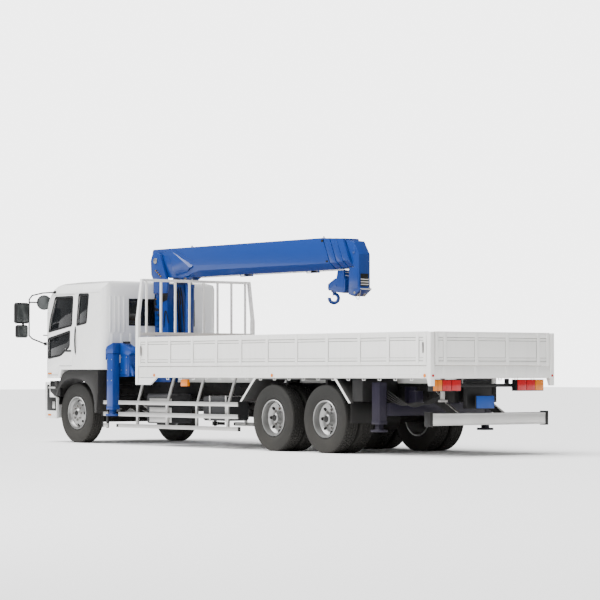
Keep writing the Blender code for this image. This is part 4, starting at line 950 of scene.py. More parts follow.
class TRUCK_OT_bed(bpy.types.Operator):
    """Build the bed, gates, hinges, hooks, deck boards and guard rack"""
    bl_idname = "truck.bed"
    bl_label = "Bed"

    def execute(self, context):
        refined("bed_floor", bed_paint(), bevel=0.004)
        refined("guard_rack", cab_paint(), bevel=0.006, segments=3)
        for side in SIDES:
            self.side_gate(side)
            self.sill_fittings(side)
            self.latches(side)
        self.tailgate()
        self.deck()
        return {"FINISHED"}

    def side_gate(self, side):
        """Drop side with cap and foot rails, beads, stiles, painted shadow lines beside the beads and stiles,
        and hinge eyes.
        """
        sign = SIGNS[side]
        panel = Shape().box((sign * 1.197, sign * 1.229), (0.103, 7.492), (GATE_LOW, GATE_HIGH))
        panel.box((sign * 1.195, sign * 1.238), (0.1, 7.495), (GATE_CAP_LOW, GATE_HIGH))
        panel.box((sign * 1.195, sign * 1.239), (0.1, 7.495), (GATE_LOW, GATE_FOOT_HIGH))
        for z in GATE_BEADS_Z:
            panel.box((sign * 1.22, sign * 1.233), (0.104, 7.491), (z, z + 0.012))
        for ahead in STILES_AT + (7.46, 0.135):
            panel.box((sign * 1.22, sign * 1.2445), (ahead - STILE_HALF, ahead + STILE_HALF),
                      (GATE_LOW + 0.004, GATE_HIGH - 0.004))
        for k in range(8):
            panel.box((sign * 1.1945, sign * 1.2), (0.103, 7.492), (1.37 + 0.055 * k, 1.385 + 0.055 * k))
        # Thin dark strips beside the beads and stiles: painted shadow lines where the raised rails and stiles
        # would cast shade.
        shadow_lines = Shape()
        for z in GATE_SHADOW_LINES_Z:
            shadow_lines.box((sign * 1.215, sign * 1.2296), (0.11, 7.485), (z, z + 0.006))
        for ahead in STILES_AT:
            for edge in (ahead - 0.033, ahead + 0.033):
                shadow_lines.box((sign * 1.215, sign * 1.2302), (edge - 0.002, edge + 0.002), (1.40, 1.752))
        shaped(f"gate_shadow_lines_{side}", shadow_lines, seam_shadow(), f"side_gate_{side}")
        gate = shaped(f"side_gate_{side}_panels", panel, bed_paint(), f"side_gate_{side}", 0.003)
        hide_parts(f"side_gate_{side}")
        hinges = Shape()
        for ahead in STILES_AT:
            hinges.rod(spot(sign * 1.2365, ahead - HINGE_HALF, HINGE_Z),
                       spot(sign * 1.2365, ahead + HINGE_HALF, HINGE_Z), HINGE_RADIUS, 12)
        shaped(f"gate_hinge_eyes_{side}", hinges, bed_paint(), f"side_gate_{side}")

    def sill_fittings(self, side):
        sign, straps, hooks = SIGNS[side], Shape(), Shape()
        for ahead in STILES_AT:
            straps.box((sign * 1.23, sign * 1.2365), (ahead - 0.035, ahead + 0.035), (1.225, 1.333))
        shaped(f"sill_hinge_straps_{side}", straps, bed_paint(), "chassis", 0.002)
        hooks.pipe([Vector((0, -0.03, 0.02)), Vector((0, -0.03, -0.022)), Vector((0, 0.03, -0.022)),
                    Vector((0, 0.03, 0.02))], 0.006, smooth=False)
        repeated(f"rope_hooks_{side}", hooks, bed_paint(), "chassis", 19, spot(sign * 1.222, 7.02, 1.142),
                 (0, 0.365, 0))
        trims = Shape()
        for z in (1.158, 1.205, 1.318):
            trims.box((sign * 1.225, sign * 1.2355), (0.03, 7.48), (z, z + 0.008))
        shaped(f"sill_lines_{side}", trims, bed_paint(), "chassis", 0.002)

    def latches(self, side):
        sign, latches = SIGNS[side], Shape()
        for ahead in (0.17, 7.42):
            latches.box((sign * 1.2415, sign * 1.2445), (ahead - 0.022, ahead + 0.022), (1.52, 1.68))
            latches.rod(spot(sign * 1.243, ahead, 1.53), spot(sign * 1.243, ahead, 1.66), 0.0065, 12)
        shaped(f"gate_latches_{side}", latches, steel(), f"side_gate_{side}", 0.001)

    def tailgate(self):
        """Tailgate with the same build as the drop sides, and its hinges."""
        panel = Shape().box((-1.148, 1.148), (0.014, 0.049), (GATE_LOW, GATE_HIGH))
        panel.box((-1.15, 1.15), (0.006, 0.05), (GATE_CAP_LOW, GATE_HIGH))
        panel.box((-1.15, 1.15), (0.005, 0.05), (GATE_LOW, GATE_FOOT_HIGH))
        for z in GATE_BEADS_Z:
            panel.box((-1.146, 1.146), (0.010, 0.02), (z, z + 0.012))
        for x in TAIL_STILES_X + (1.12, -1.12):
            panel.box((x - STILE_HALF, x + STILE_HALF), (0.0005, 0.02), (GATE_LOW + 0.004, GATE_HIGH - 0.004))
        # Painted shadow lines beside the beads and stiles, as on the drop sides.
        shadow_lines = Shape()
        for z in GATE_SHADOW_LINES_Z:
            shadow_lines.box((-1.14, 1.14), (0.0135, 0.03), (z, z + 0.006))
        for x in TAIL_STILES_X:
            for edge in (x - 0.033, x + 0.033):
                shadow_lines.box((edge - 0.002, edge + 0.002), (0.013, 0.03), (1.40, 1.752))
        shaped("tailgate_shadow_lines", shadow_lines, seam_shadow(), "tailgate")
        gate = shaped("tailgate_panels", panel, bed_paint(), "tailgate", 0.003)
        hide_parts("tailgate")
        eyes, straps = Shape(), Shape()
        for x in TAIL_STILES_X:
            eyes.rod(spot(x - HINGE_HALF, 0.009, HINGE_Z), spot(x + HINGE_HALF, 0.009, HINGE_Z), HINGE_RADIUS,
                     12)
            straps.box((x - 0.035, x + 0.035), (0.012, 0.022), (1.19, 1.333))
        shaped("tailgate_hinge_eyes", eyes, bed_paint(), "tailgate")
        shaped("tailgate_hinge_straps", straps, bed_paint(), "chassis", 0.002)

    def deck(self):
        boards = Shape().box((-0.052, 0.052), (0.08, 7.48), (0.0, 0.005))
        deck_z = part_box("bed_floor")[0][2] + DECK_RISE
        repeated("deck_boards", boards, deck_wood(), "chassis", 21, Vector((-1.10, 0, deck_z)), (0.11, 0, 0),
                 bevel=0.0015)


# ---------------------------------------------------------------- lamps and markers
class TRUCK_OT_lamps(bpy.types.Operator):
    """Build the rear lamps, side markers, headlamps and reflectors"""
    bl_idname = "truck.lamps"
    bl_label = "Lamps"

    def execute(self, context):
        refined("rear_lamps", black_trim(), bevel=0.004)
        self.rear_lenses()
        self.side_markers()
        self.headlamps()
        return {"FINISHED"}

    def rear_lenses(self):
        """Amber lens outboard and two red ones inboard on each side, with ribs over the left lamp."""
        z = (0.968, 1.125)
        red, amber = Shape(), Shape()
        for start, sign in ((1.110, -1), (-1.110, 1)):
            for k, (shape, width) in enumerate(((amber, 0.17), (red, 0.175), (red, 0.175))):
                begin = start + sign * (0.0, 0.178, 0.361)[k]
                shape.box((begin, begin + sign * width), (0.092, 0.104), z)
        shaped("red_lenses", red, red_lens(), "chassis", 0.004)
        ribs = Shape().box((-0.002, 0.002), (0.0905, 0.0935), (z[0] + 0.006, z[1] - 0.006))
        repeated("lens_ribs_left", ribs, black_trim(), "chassis", 4, Vector((1.025, 0, 0)), (-0.088, 0, 0))
        shaped("amber_lenses", amber, amber_lens(), "chassis", 0.004)

    def side_markers(self):
        discs, boxes = Shape(), Shape()
        for sign in (-1, 1):
            for ahead in (7.03, 3.79, 0.145):
                discs.rod(spot(sign * 1.2325, ahead, 1.191), spot(sign * 1.2405, ahead, 1.191), 0.028, 20)
            boxes.box((sign * 1.16, sign * 1.215), (6.11, 6.29), (1.01, 1.125))
            boxes.box((sign * 1.224, sign * 1.232), (10.24, 10.36), (1.205, 1.235))
            boxes.box((sign * 1.222, sign * 1.230), (10.25, 10.36), (0.465, 0.50))
        shaped("round_reflectors", discs, amber_lens(), "chassis", 0.003)
        shaped("side_marker_lamps", boxes, amber_lens(), "chassis", 0.004)
        rears = Shape()
        for x in (1.20, -1.20):
            rears.rod(spot(x, 0.0, 1.191), spot(x, -0.004, 1.191), 0.02, 20)
        shaped("rear_reflectors", rears, red_lens(), "chassis", 0.001)

    def headlamps(self):
        frames, clear = Shape(), Shape()
        for sign in (-1, 1):
            frames.box((sign * 0.70, sign * 1.10), (10.52, 10.60), (0.66, 0.90))
            for x in (0.80, 0.99):
                clear.rod(spot(sign * x, 10.57, 0.79), spot(sign * x, 10.6135, 0.79), 0.080, 32)
            clear.box((sign * 0.72, sign * 1.06), (10.56, 10.606), (0.58, 0.635))
        shaped("headlamp_frames", frames, black_trim(), "chassis", 0.01)
        shaped("headlamp_lenses", clear, clear_lens(), "chassis", 0.006, segments=3)


# ---------------------------------------------------------------- cab
UPPER_WINDOW = ((10.325, 1.975), (10.27, 2.22), (10.115, 2.565), (9.56, 2.565), (9.60, 2.075))
LOWER_WINDOW = ((10.35, 1.50), (10.35, 1.83), (9.66, 1.955), (9.675, 1.70), (9.95, 1.55))
QUARTER_WINDOW = ((9.35, 2.60), (9.06, 2.595), (9.13, 2.115), (9.42, 2.075))


def rounded_outline(points, radius, steps=4):
    """Outline with each corner replaced by a short arc."""
    result = []
    for before, here, after in zip(points[-1:] + points[:-1], points, points[1:] + points[:1]):
        here, before, after = Vector(here), Vector(before), Vector(after)
        reach = min(radius, (before - here).length * 0.4, (after - here).length * 0.4)
        start, end = here + (before - here).normalized() * reach, here + (after - here).normalized() * reach
        for k in range(steps + 1):
            t = k / steps
            result.append(tuple(start * (1 - t) ** 2 + here * 2 * t * (1 - t) + end * t ** 2))
    return result


def grown(points, distance):
    """Outline moved outwards along every side by a distance."""
    area = sum(u0 * v1 - u1 * v0 for (u0, v0), (u1, v1) in zip(points, points[1:] + points[:1]))
    turn = 1 if area > 0 else -1
    moved = []
    for before, here, after in zip(points[-1:] + points[:-1], points, points[1:] + points[:1]):
        first = (Vector(here) - Vector(before)).normalized()
        second = (Vector(after) - Vector(here)).normalized()
        normals = Vector((first.y, -first.x)) + Vector((second.y, -second.x))
        moved.append(tuple(Vector(here) + normals * (2 * distance * turn / normals.length_squared)))
    return moved


class TRUCK_OT_cab(bpy.types.Operator):
    """Build the cab, doors, glass, grille, mirrors and cabin"""
    bl_idname = "truck.cab"
    bl_label = "Cab"

    def execute(self, context):
        refined("cab_shell", cab_paint(), bevel=0.012, segments=3)
        refined("windshield", dark_glass(), bevel=0.001)
        for side in SIDES:
            refined(f"door_{side}", cab_paint(), bevel=0.006)
            refined(f"mirror_{side}", black_trim(), bevel=0.004)
            self.side_glass(side)
            self.door_fittings(side)
            self.mirror_faces(side)
        self.rear_wall()
        self.front_panel()
        self.cabin()
        return {"FINISHED"}

    def side_glass(self, side):
        sign = SIGNS[side]
        panes = Shape()
        for outline in (UPPER_WINDOW, LOWER_WINDOW):
            panes.slab(grown(outline, -0.004), (sign * 1.206, sign * 1.212))
        shaped(f"door_glass_{side}", panes, dark_glass(), f"door_{side}", 0.001)
        quarter = Shape().slab(grown(QUARTER_WINDOW, -0.004), (sign * 1.206, sign * 1.212))
        shaped(f"quarter_glass_{side}", quarter, dark_glass(), "cab", 0.001)
        self.window_seals(side, "door", (UPPER_WINDOW, LOWER_WINDOW), f"door_{side}")
        self.window_seals(side, "quarter", (QUARTER_WINDOW,), "cab")

    def window_seals(self, side, label, outlines, body):
        sign, seals = SIGNS[side], Shape()
        for outline in outlines:
            seals.band(rounded_outline(grown(outline, 0.026), 0.05),
                       rounded_outline(grown(outline, -0.012), 0.03),
                       (sign * 1.2248, sign * 1.2272))
        shaped(f"{label}_seals_{side}", seals, black_trim(), body, 0.0008)

    def door_fittings(self, side):
        sign, body = SIGNS[side], f"door_{side}"
        handle = Shape().box((sign * 1.2255, sign * 1.238), (9.60, 9.78), (1.60, 1.635))
        shaped(f"door_handle_{side}", handle, black_trim(), body, 0.006)
        cup = Shape().box((sign * 1.2235, sign * 1.2262), (9.585, 9.80), (1.575, 1.66))
        shaped(f"handle_cup_{side}", cup, cab_paint(), body, 0.001)
        grab = Shape().pipe([spot(sign * 1.21, 9.47, 1.55), spot(sign * 1.245, 9.46, 1.58),
                             spot(sign * 1.245, 9.46, 2.02), spot(sign * 1.21, 9.47, 2.05)], 0.012)
        shaped(f"grab_rail_{side}", grab, black_trim(), "cab")
        rail = Shape().pipe([spot(sign * 1.222, 10.24, 2.640), spot(sign * 1.222, 9.6, 2.642),
                             spot(sign * 1.222, 8.72, 2.642)], 0.006, smooth=False)
        shaped(f"drip_rail_{side}", rail, cab_paint(), "cab")

    def mirror_faces(self, side):
        sign, faces = SIGNS[side], Shape()
        faces.box((sign * 1.385, sign * 1.63), (10.7575, 10.7605), (2.14, 2.465))
        faces.box((sign * 1.40, sign * 1.61), (10.7625, 10.7655), (1.88, 2.07))
        toward = Vector((sign * 0.62, 0.785, 0)).normalized()
        centre = spot(sign * 1.245, 10.47, 2.49)
        faces.rod(centre + toward * 0.0002, centre + toward * 0.003, 0.118, 40)
        shaped(f"mirror_faces_{side}", faces, mirror_glass(), "cab", 0.001)
        feet = Shape().box((sign * 1.218, sign * 1.236), (10.11, 10.17), (2.64, 2.69))
        feet.box((sign * 1.19, sign * 1.228), (10.45, 10.50), (1.72, 1.78))
        shaped(f"mirror_feet_{side}", feet, black_trim(), "cab", 0.004)

    def rear_wall(self):
        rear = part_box("cab_shell")[1][1]
        repeated("rear_wall_ribs_left", centred_box(0.045, 0.012, 0.62), cab_paint(), "cab", 4,
                 Vector((0.80, rear, 2.25)), (0.095, 0, 0), bevel=0.004)
        repeated("rear_wall_ribs_low", centred_box(0.06, 0.012, 0.50), cab_paint(), "cab", 12,
                 Vector((-1.045, rear, 1.66)), (0.19, 0, 0),
                 bevel=0.004)
        pane = Shape().box((-0.696, 0.696), (8.588, 8.594), (2.064, 2.516))
        shaped("rear_glass", pane, dark_glass(), "cab", 0.001)
        ring = [spot(x, 8.572, z) for x, z in ((-0.70, 2.06), (0.70, 2.06), (0.70, 2.52), (-0.70, 2.52))]
        shaped("rear_glass_seal", Shape().pipe(ring + ring[:1], 0.011, smooth=False), black_trim(), "cab")

    def front_panel(self):
        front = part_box("cab_shell")[0][1]
        repeated("grille_slats", centred_box(1.50, 0.010, 0.035), black_trim(), "cab", 6,
                 Vector((0, front + 0.008, 1.30)), (0, 0.0025, 0.062),
                 bevel=0.003)
        wipers = Shape()
        for x in (-0.62, 0.02, 0.62):
            wipers.pipe([spot(x, 10.555, 1.80), spot(x + 0.02, 10.575, 1.84), spot(x + 0.34, 10.565, 1.90)],
                        0.008)
            wipers.box((x + 0.10, x + 0.58), (10.560, 10.572), (1.895, 1.915))
        shaped("wipers", wipers, black_trim(), "cab")
        ring = [spot(x, ahead, z) for x, ahead, z in ((-1.07, 10.52, 1.80), (-0.5, 10.592, 1.79),
                                                      (0.5, 10.592, 1.79),
                (1.07, 10.52, 1.80))]
        shaped("windshield_seal", Shape().pipe(ring, 0.010), black_trim(), "cab")

    def cabin(self):
        refined("cab_interior", cabin_plastic(), bevel=0.015, segments=3)
        self.padding()
        self.controls()

    def padding(self):
        for side in SIDES:
            x = SIGNS[side] * 0.60
            for name, span, ahead, z in (
                    ("seat_cushion", (x - 0.24, x + 0.24), (9.215, 9.60), (1.765, 1.82)),
                    ("seat_back", (x - 0.22, x + 0.22), (9.185, 9.235), (1.83, 2.30)),
                    ("head_rest", (x - 0.13, x + 0.13), (9.185, 9.245), (2.31, 2.44))):
                pad = shaped(f"{name}_{side}", Shape().box(span, ahead, z), seat_fabric(), "cab", 0.022,
                             segments=4)
        bunk = shaped("bunk_pad", Shape().box((-1.08, 1.08), (8.69, 8.99), (1.705, 1.78)), seat_fabric(),
                      "cab",
                      0.03, segments=4)

    def controls(self):
        trim = Shape()
        for k in range(5):
            trim.box((-0.95 + 0.16 * k, -0.85 + 0.16 * k), (10.108, 10.119), (1.66, 1.73))
        trim.rod(spot(-0.14, 9.96, 1.64), spot(-0.14, 9.90, 1.93), 0.012, 12)
        shaped("dash_trim", trim, black_trim(), "cab", 0.002)
        rim = Shape()
        turns = [math.tau * k / 24 for k in range(25)]
        ring = [spot(-0.60 + 0.215 * math.sin(turn), 9.935 - 0.19 * math.cos(turn),
                     1.925 + 0.098 * math.cos(turn))
                for turn in turns]
        rim.pipe(ring, 0.014)
        shaped("steering_rim", rim, black_trim(), "cab")


# ---------------------------------------------------------------- crane
BOOM_BODIES = tuple(f"boom_section_{k}" for k in range(1, 6))
BOOM_PIN_AT, BOOM_PIN_Z = 8.42, 3.19
LIFT_BASE_AT, LIFT_BASE_Z = 7.74, 1.56
LIFT_EYE_AT, LIFT_EYE_Z = 7.72, 2.87
BLOCK_PIN_AT, BLOCK_PIN_Z = 3.60, 2.63
ROPE_Z, ROPE_EXIT_AT, ROPE_OVERLAP = 2.872, 3.62, 2.9
GUARD_LOW_Z = 2.850


class TRUCK_OT_crane(bpy.types.Operator):
    """Build the crane's base, column, boom, cylinder, winch, rope and hook"""
    bl_idname = "truck.crane"
    bl_label = "Crane"

    def execute(self, context):
        refined("crane_base", bevel=0.006)
        refined("crane_column", bevel=0.008, segments=3)
        for node in BOOM_BODIES:
            refined(node, bevel=0.006)
        refined("hook_block", bevel=0.004)
        refined("crane_hook", bevel=0.002)
        refined("lift_cylinder", bevel=0.004)
        refined("lift_rod", chrome(), bevel=0.002)
        self.slew_ring()
        self.pins()
        self.knee_covers()
        self.column_opening_shade()
        self.column_hydraulics()
        self.column_fittings()
        self.hangers()
        self.rope()
        self.head_sheaves()
        self.hoses()
        self.levers()
        return {"FINISHED"}

    def slew_ring(self):
        ring, bolts = Shape(), 20
        for k in range(bolts):
            one = Shape().rod((0.335, 0, 0), (0.335, 0, 0.016), 0.014, 6)
            one.bm.transform(Matrix.Rotation(2 * math.pi * k / bolts, 4, "Z"))
            ring.add(one.bm)
        ring.bm.transform(Matrix.Translation(spot(0, 8.085, 1.489)))
        shaped("slew_bolts", ring, steel(), "crane_column")

    def pins(self):
        ends = Shape()
        for sign in (-1, 1):
            ends.rod(spot(sign * 0.238, BOOM_PIN_AT, BOOM_PIN_Z), spot(sign * 0.258, BOOM_PIN_AT, BOOM_PIN_Z),
                     0.05, 32)
            ends.rod(spot(sign * 0.154, LIFT_BASE_AT, LIFT_BASE_Z),
                     spot(sign * 0.172, LIFT_BASE_AT, LIFT_BASE_Z),
                     0.036, 24)
        shaped("column_pin_heads", ends, steel(), "crane_column", 0.004)
        eyes = Shape()
        for sign in (-1, 1):
            eyes.rod(spot(sign * 0.093, LIFT_EYE_AT, LIFT_EYE_Z), spot(sign * 0.108, LIFT_EYE_AT, LIFT_EYE_Z),
                     0.036, 24)
        shaped("boom_pin_heads", eyes, steel(), "boom_section_1", 0.003)
        gland = Shape().rod(spot(0, 7.7225, 2.70), spot(0, 7.7215, 2.762), 0.082, 32)
        shaped("cylinder_gland", gland, crane_paint(), "lift_cylinder", 0.004)

    def knee_covers(self):
        """Raised cover, strip and lifting mark on each side of the boom's foot."""
        for side in SIDES:
            sign, covers = SIGNS[side], Shape()
            covers.wedge([(sign * x, ahead, z) for x, ahead, z in (
                (0.186, 8.00, 3.34), (0.186, 7.37, 3.07), (0.186, 8.06, 3.19), (0.228, 7.93, 3.03),
                (0.228, 7.42, 3.04), (0.186, 7.88, 2.91), (0.186, 7.55, 2.96))])
            covers.slab([(7.92, 3.37), (7.90, 3.37), (7.30, 3.13), (7.32, 3.13)],
                        (sign * 0.1852, sign * 0.190))
            covers.slab([(8.34, 3.335), (8.18, 3.345), (8.18, 3.355), (8.34, 3.345)],
                        (sign * 0.1852, sign * 0.187))
            shaped(f"boom_knee_cover_{side}", covers, crane_paint(), "boom_section_1", 0.002)

    def column_opening_shade(self):
        # Black plates on the column's sides: painted shade standing in for the dark inside of the winch
        # openings.
        opening_shade = Shape()
        for sign in (-1, 1):
            opening_shade.slab([(8.34, 2.74), (8.09, 2.76), (8.12, 2.50), (8.27, 2.46)],
                        (sign * 0.2002, sign * 0.204))
        shaped("winch_opening_shade", opening_shade, black_trim(), "crane_column", 0.002)

    def column_hydraulics(self):
        """Brass unions and short hoses that are fixed at both ends to the column."""
        fittings, loops = Shape(), Shape()
        for sign in (-1, 1):
            for k in range(4):
                ahead, z = 8.40 - 0.05 * k, 3.02 - 0.035 * k
                fittings.rod(spot(sign * 0.236, ahead, z), spot(sign * 0.262, ahead, z), 0.014, 8)
            for k in range(3):
                reach = 0.03 * k
                loops.pipe([spot(sign * 0.16, 8.49, 2.72 - reach),
                            spot(sign * (0.215 + 0.01 * k), 8.50, 2.55 - reach),
                            spot(sign * 0.212, 8.44, 2.40 - 2 * reach), spot(sign * 0.215, 8.36,
                                                                             2.30 - reach),
                            spot(sign * 0.19, 8.30, 2.20 - reach)], 0.010)
            loops.pipe([spot(sign * 0.2, 8.22, 2.02), spot(sign * 0.215, 8.20, 2.25),
                        spot(sign * 0.215, 8.13, 2.35),
                        spot(sign * 0.2, 8.09, 2.10)], 0.009)
            for z in (2.62, 2.52, 2.42, 2.32):
                fittings.rod(spot(sign * 0.198, 8.46, z), spot(sign * 0.218, 8.46, z), 0.011, 8)
        shaped("hose_fittings", fittings, brass(), "crane_column")
        shaped("valve_hoses", loops, rubber_hose(), "crane_column")

    def column_fittings(self):
        fins = Shape()
        for sign in (-1, 1):
            for z in (2.06, 2.16, 2.26, 2.36):
                fins.box((sign * 0.2, sign * 0.222), (8.36, 8.47), (z, z + 0.05))
            fins.rod(spot(sign * 0.20, 8.40, 1.96), spot(sign * 0.235, 8.40, 1.96), 0.04, 20)
            fins.slab([(8.07, 2.42), (8.07, 1.92), (7.985, 1.875), (8.0, 2.0), (8.05, 2.42)],
                      (sign * 0.05, sign * 0.062))
        shaped("column_fittings", fins, crane_paint(), "crane_column", 0.003)

    def hangers(self):
        loops, rollers = Shape(), Shape()
        for front, rear in ((6.14, 5.80), (4.35, 4.05)):
            loops.pipe([spot(0.085, front, 2.90), spot(0.085, front, GUARD_LOW_Z),
                        spot(0.085, rear, GUARD_LOW_Z),
                        spot(0.085, rear, 2.90)], 0.009, smooth=False)
            rollers.rod(spot(-0.085, front - 0.11, 2.868), spot(0.085, front - 0.11, 2.868), 0.016, 20)
        shaped("rope_guards", loops, crane_paint(), "boom_section_1")
        shaped("rope_rollers", rollers, black_trim(), "boom_section_1", 0.003)
        eyes = Shape()
        for ahead in (7.62, 3.98):
            eyes.pipe([spot(0.03, ahead + reach, z)
                       for reach, z in ((0.03, 3.39), (0.012, 3.43), (-0.012, 3.43), (-0.03, 3.39))], 0.007)
        shaped("lifting_eyes", eyes, crane_paint(), "boom_section_1")
        wear = Shape()
        for sign in (-1, 1):
            wear.box((sign * 0.185, sign * 0.1885), (3.80, 3.86), (3.33, 3.37))
            wear.box((sign * 0.185, sign * 0.1885), (3.68, 3.74), (3.0, 3.03))
        shaped("wear_pad_bolts", wear, black_trim(), "boom_section_1", 0.001)

    def rope(self):
        """Winch rope along the boom: each section carries the length that it draws out."""
        radius = detail().rope_radius
        first = Shape().rod(spot(0, 7.50, ROPE_Z), spot(0, ROPE_EXIT_AT, ROPE_Z), radius, 10)
        shaped("winch_rope_1", first, steel(), "boom_section_1")
        for k in range(1, 5):
            length = Shape().rod(spot(0, ROPE_EXIT_AT + ROPE_OVERLAP, ROPE_Z), spot(0, 3.26, ROPE_Z),
                                 radius * (1 - 0.06 * k), 10)
            shaped(f"winch_rope_{k + 1}", length, steel(), BOOM_BODIES[k])

    def head_sheaves(self):
        discs = Shape()
        for x in (-0.06, 0.06):
            discs.rod(spot(x - 0.018, 3.10, 2.50), spot(x + 0.018, 3.10, 2.50), 0.055, 36)
        discs.rod(spot(-0.122, 3.10, 2.50), spot(0.122, 3.10, 2.50), 0.02, 20)
        shaped("head_sheaves", discs, steel(), "boom_section_5", 0.004)
        plates = Shape()
        for sign in (-1, 1):
            plates.rod(spot(sign * 0.1155, 3.12, 3.16), spot(sign * 0.122, 3.12, 3.16), 0.04, 32)
            plates.box((sign * 0.1152, sign * 0.119), (3.02, 3.22), (2.56, 2.90))
        shaped("head_side_plates", plates, crane_paint(), "boom_section_5", 0.003)
        # Black plate on the head's end: painted shade standing in for the dark inside of the rope opening.
        head_shade = Shape().box((-0.08, 0.08), (2.990, 2.996), (2.60, 2.80))
        shaped("head_opening_shade", head_shade, black_trim(), "boom_section_5", 0.002)
        rollers = Shape()
        for z in (2.63, 2.67, 2.71):
            rollers.rod(spot(-0.078, 2.992, z), spot(0.078, 2.992, z), 0.011, 14)
        rollers.box((-0.11, 0.11), (2.945, 2.965), (2.548, 2.566))
        shaped("head_rope_rollers", rollers, aluminium(), "boom_section_5", 0.001)
        self.hook_fittings()

    def hook_fittings(self):
        """Pins and seams of the hook block, its rope falls, the wire handle and the hook's latch."""
        cheeks = Shape()
        for sign in (-1, 1):
            cheeks.rod(spot(sign * 0.0855, BLOCK_PIN_AT, BLOCK_PIN_Z),
                       spot(sign * 0.093, BLOCK_PIN_AT, BLOCK_PIN_Z),
                       0.018, 28)
            cheeks.rod(spot(sign * 0.0855, 3.785, 2.62), spot(sign * 0.090, 3.785, 2.62), 0.014, 20)
            cheeks.box((sign * 0.0855, sign * 0.087), (3.41, 3.416), (2.515, 2.74))
        shaped("block_sheave_pins", cheeks, crane_paint(), "hook_block", 0.002)
        falls = Shape()
        for x in (-0.05, 0.05):
            for end in (2.79, 2.84):
                falls.rod(spot(x, 3.43, end), spot(x, 3.235, end - 0.03), detail().rope_radius, 8)
        obj = piece("hook_rope_falls", cut_lengths(falls.mesh("falls"), 12), steel(), None)
        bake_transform(obj)
        bail = Shape().pipe([spot(0.09, 3.11, 2.445), spot(0.09, 3.06, 2.385), spot(0.09, 3.01, 2.40),
                             spot(0.09, 2.975, 2.55)], 0.0045)
        shaped("head_wire_handle", bail, steel(), "boom_section_5")
        tongue = Shape().rod(spot(-0.03, 3.80, 2.50), spot(-0.045, 3.845, 2.46), 0.006, 10)
        shaped("hook_latch", tongue, steel(), "crane_hook")

    def hoses(self):
        lines = Shape()
        for k in range(4):
            x = -0.10 + 0.045 * k
            lines.pipe([spot(x, 8.075, 1.88), spot(x, 8.06, 2.2), spot(x, 8.10, 2.6), spot(x, 8.16, 2.74)],
                       0.011)
        shaped("column_hoses", lines, rubber_hose(), "crane_column")
        side = Shape()
        for k in range(3):
            z = 1.44 + 0.03 * k
            side.pipe([spot(0.45, 7.83, z), spot(0.66, 7.80, z + 0.02), spot(0.86, 7.98, z - 0.02)], 0.011)
        shaped("base_hoses", side, rubber_hose(), "chassis")

    def levers(self):
        for side in SIDES:
            sign = SIGNS[side]
            lever = Shape().rod((0, 0, 0), (sign * 0.05, 0, 0.13), 0.006, 10)
            lever.rod((sign * 0.047, 0, 0.12), (sign * 0.062, 0, 0.155), 0.013, 14)
            repeated(f"control_levers_{side}", lever, black_trim(), "chassis", 5,
                     spot(sign * 0.98, 8.235, 1.615),
                     (0, 0.045, 0))
            valve = Shape().box((sign * 0.82, sign * 1.05), (8.03, 8.26), (1.615, 1.66))
            shaped(f"control_valves_{side}", valve, chassis_paint(), "chassis", 0.006)
            cover = Shape().rod(spot(sign * 1.070, 8.215, 1.50), spot(sign * 1.078, 8.215, 1.50), 0.04, 24)
            shaped(f"gauge_{side}", cover, clear_lens(), "chassis", 0.002)


def cut_lengths(mesh, parts):
    """Subdivide the mesh's long edges."""
    bm = bmesh.new()
    bm.from_mesh(mesh)
    long_edges = [edge for edge in bm.edges if edge.calc_length() > 0.1]
    bmesh.ops.subdivide_edges(bm, edges=long_edges, cuts=parts)
    bm.to_mesh(mesh)
    bm.free()
    return mesh


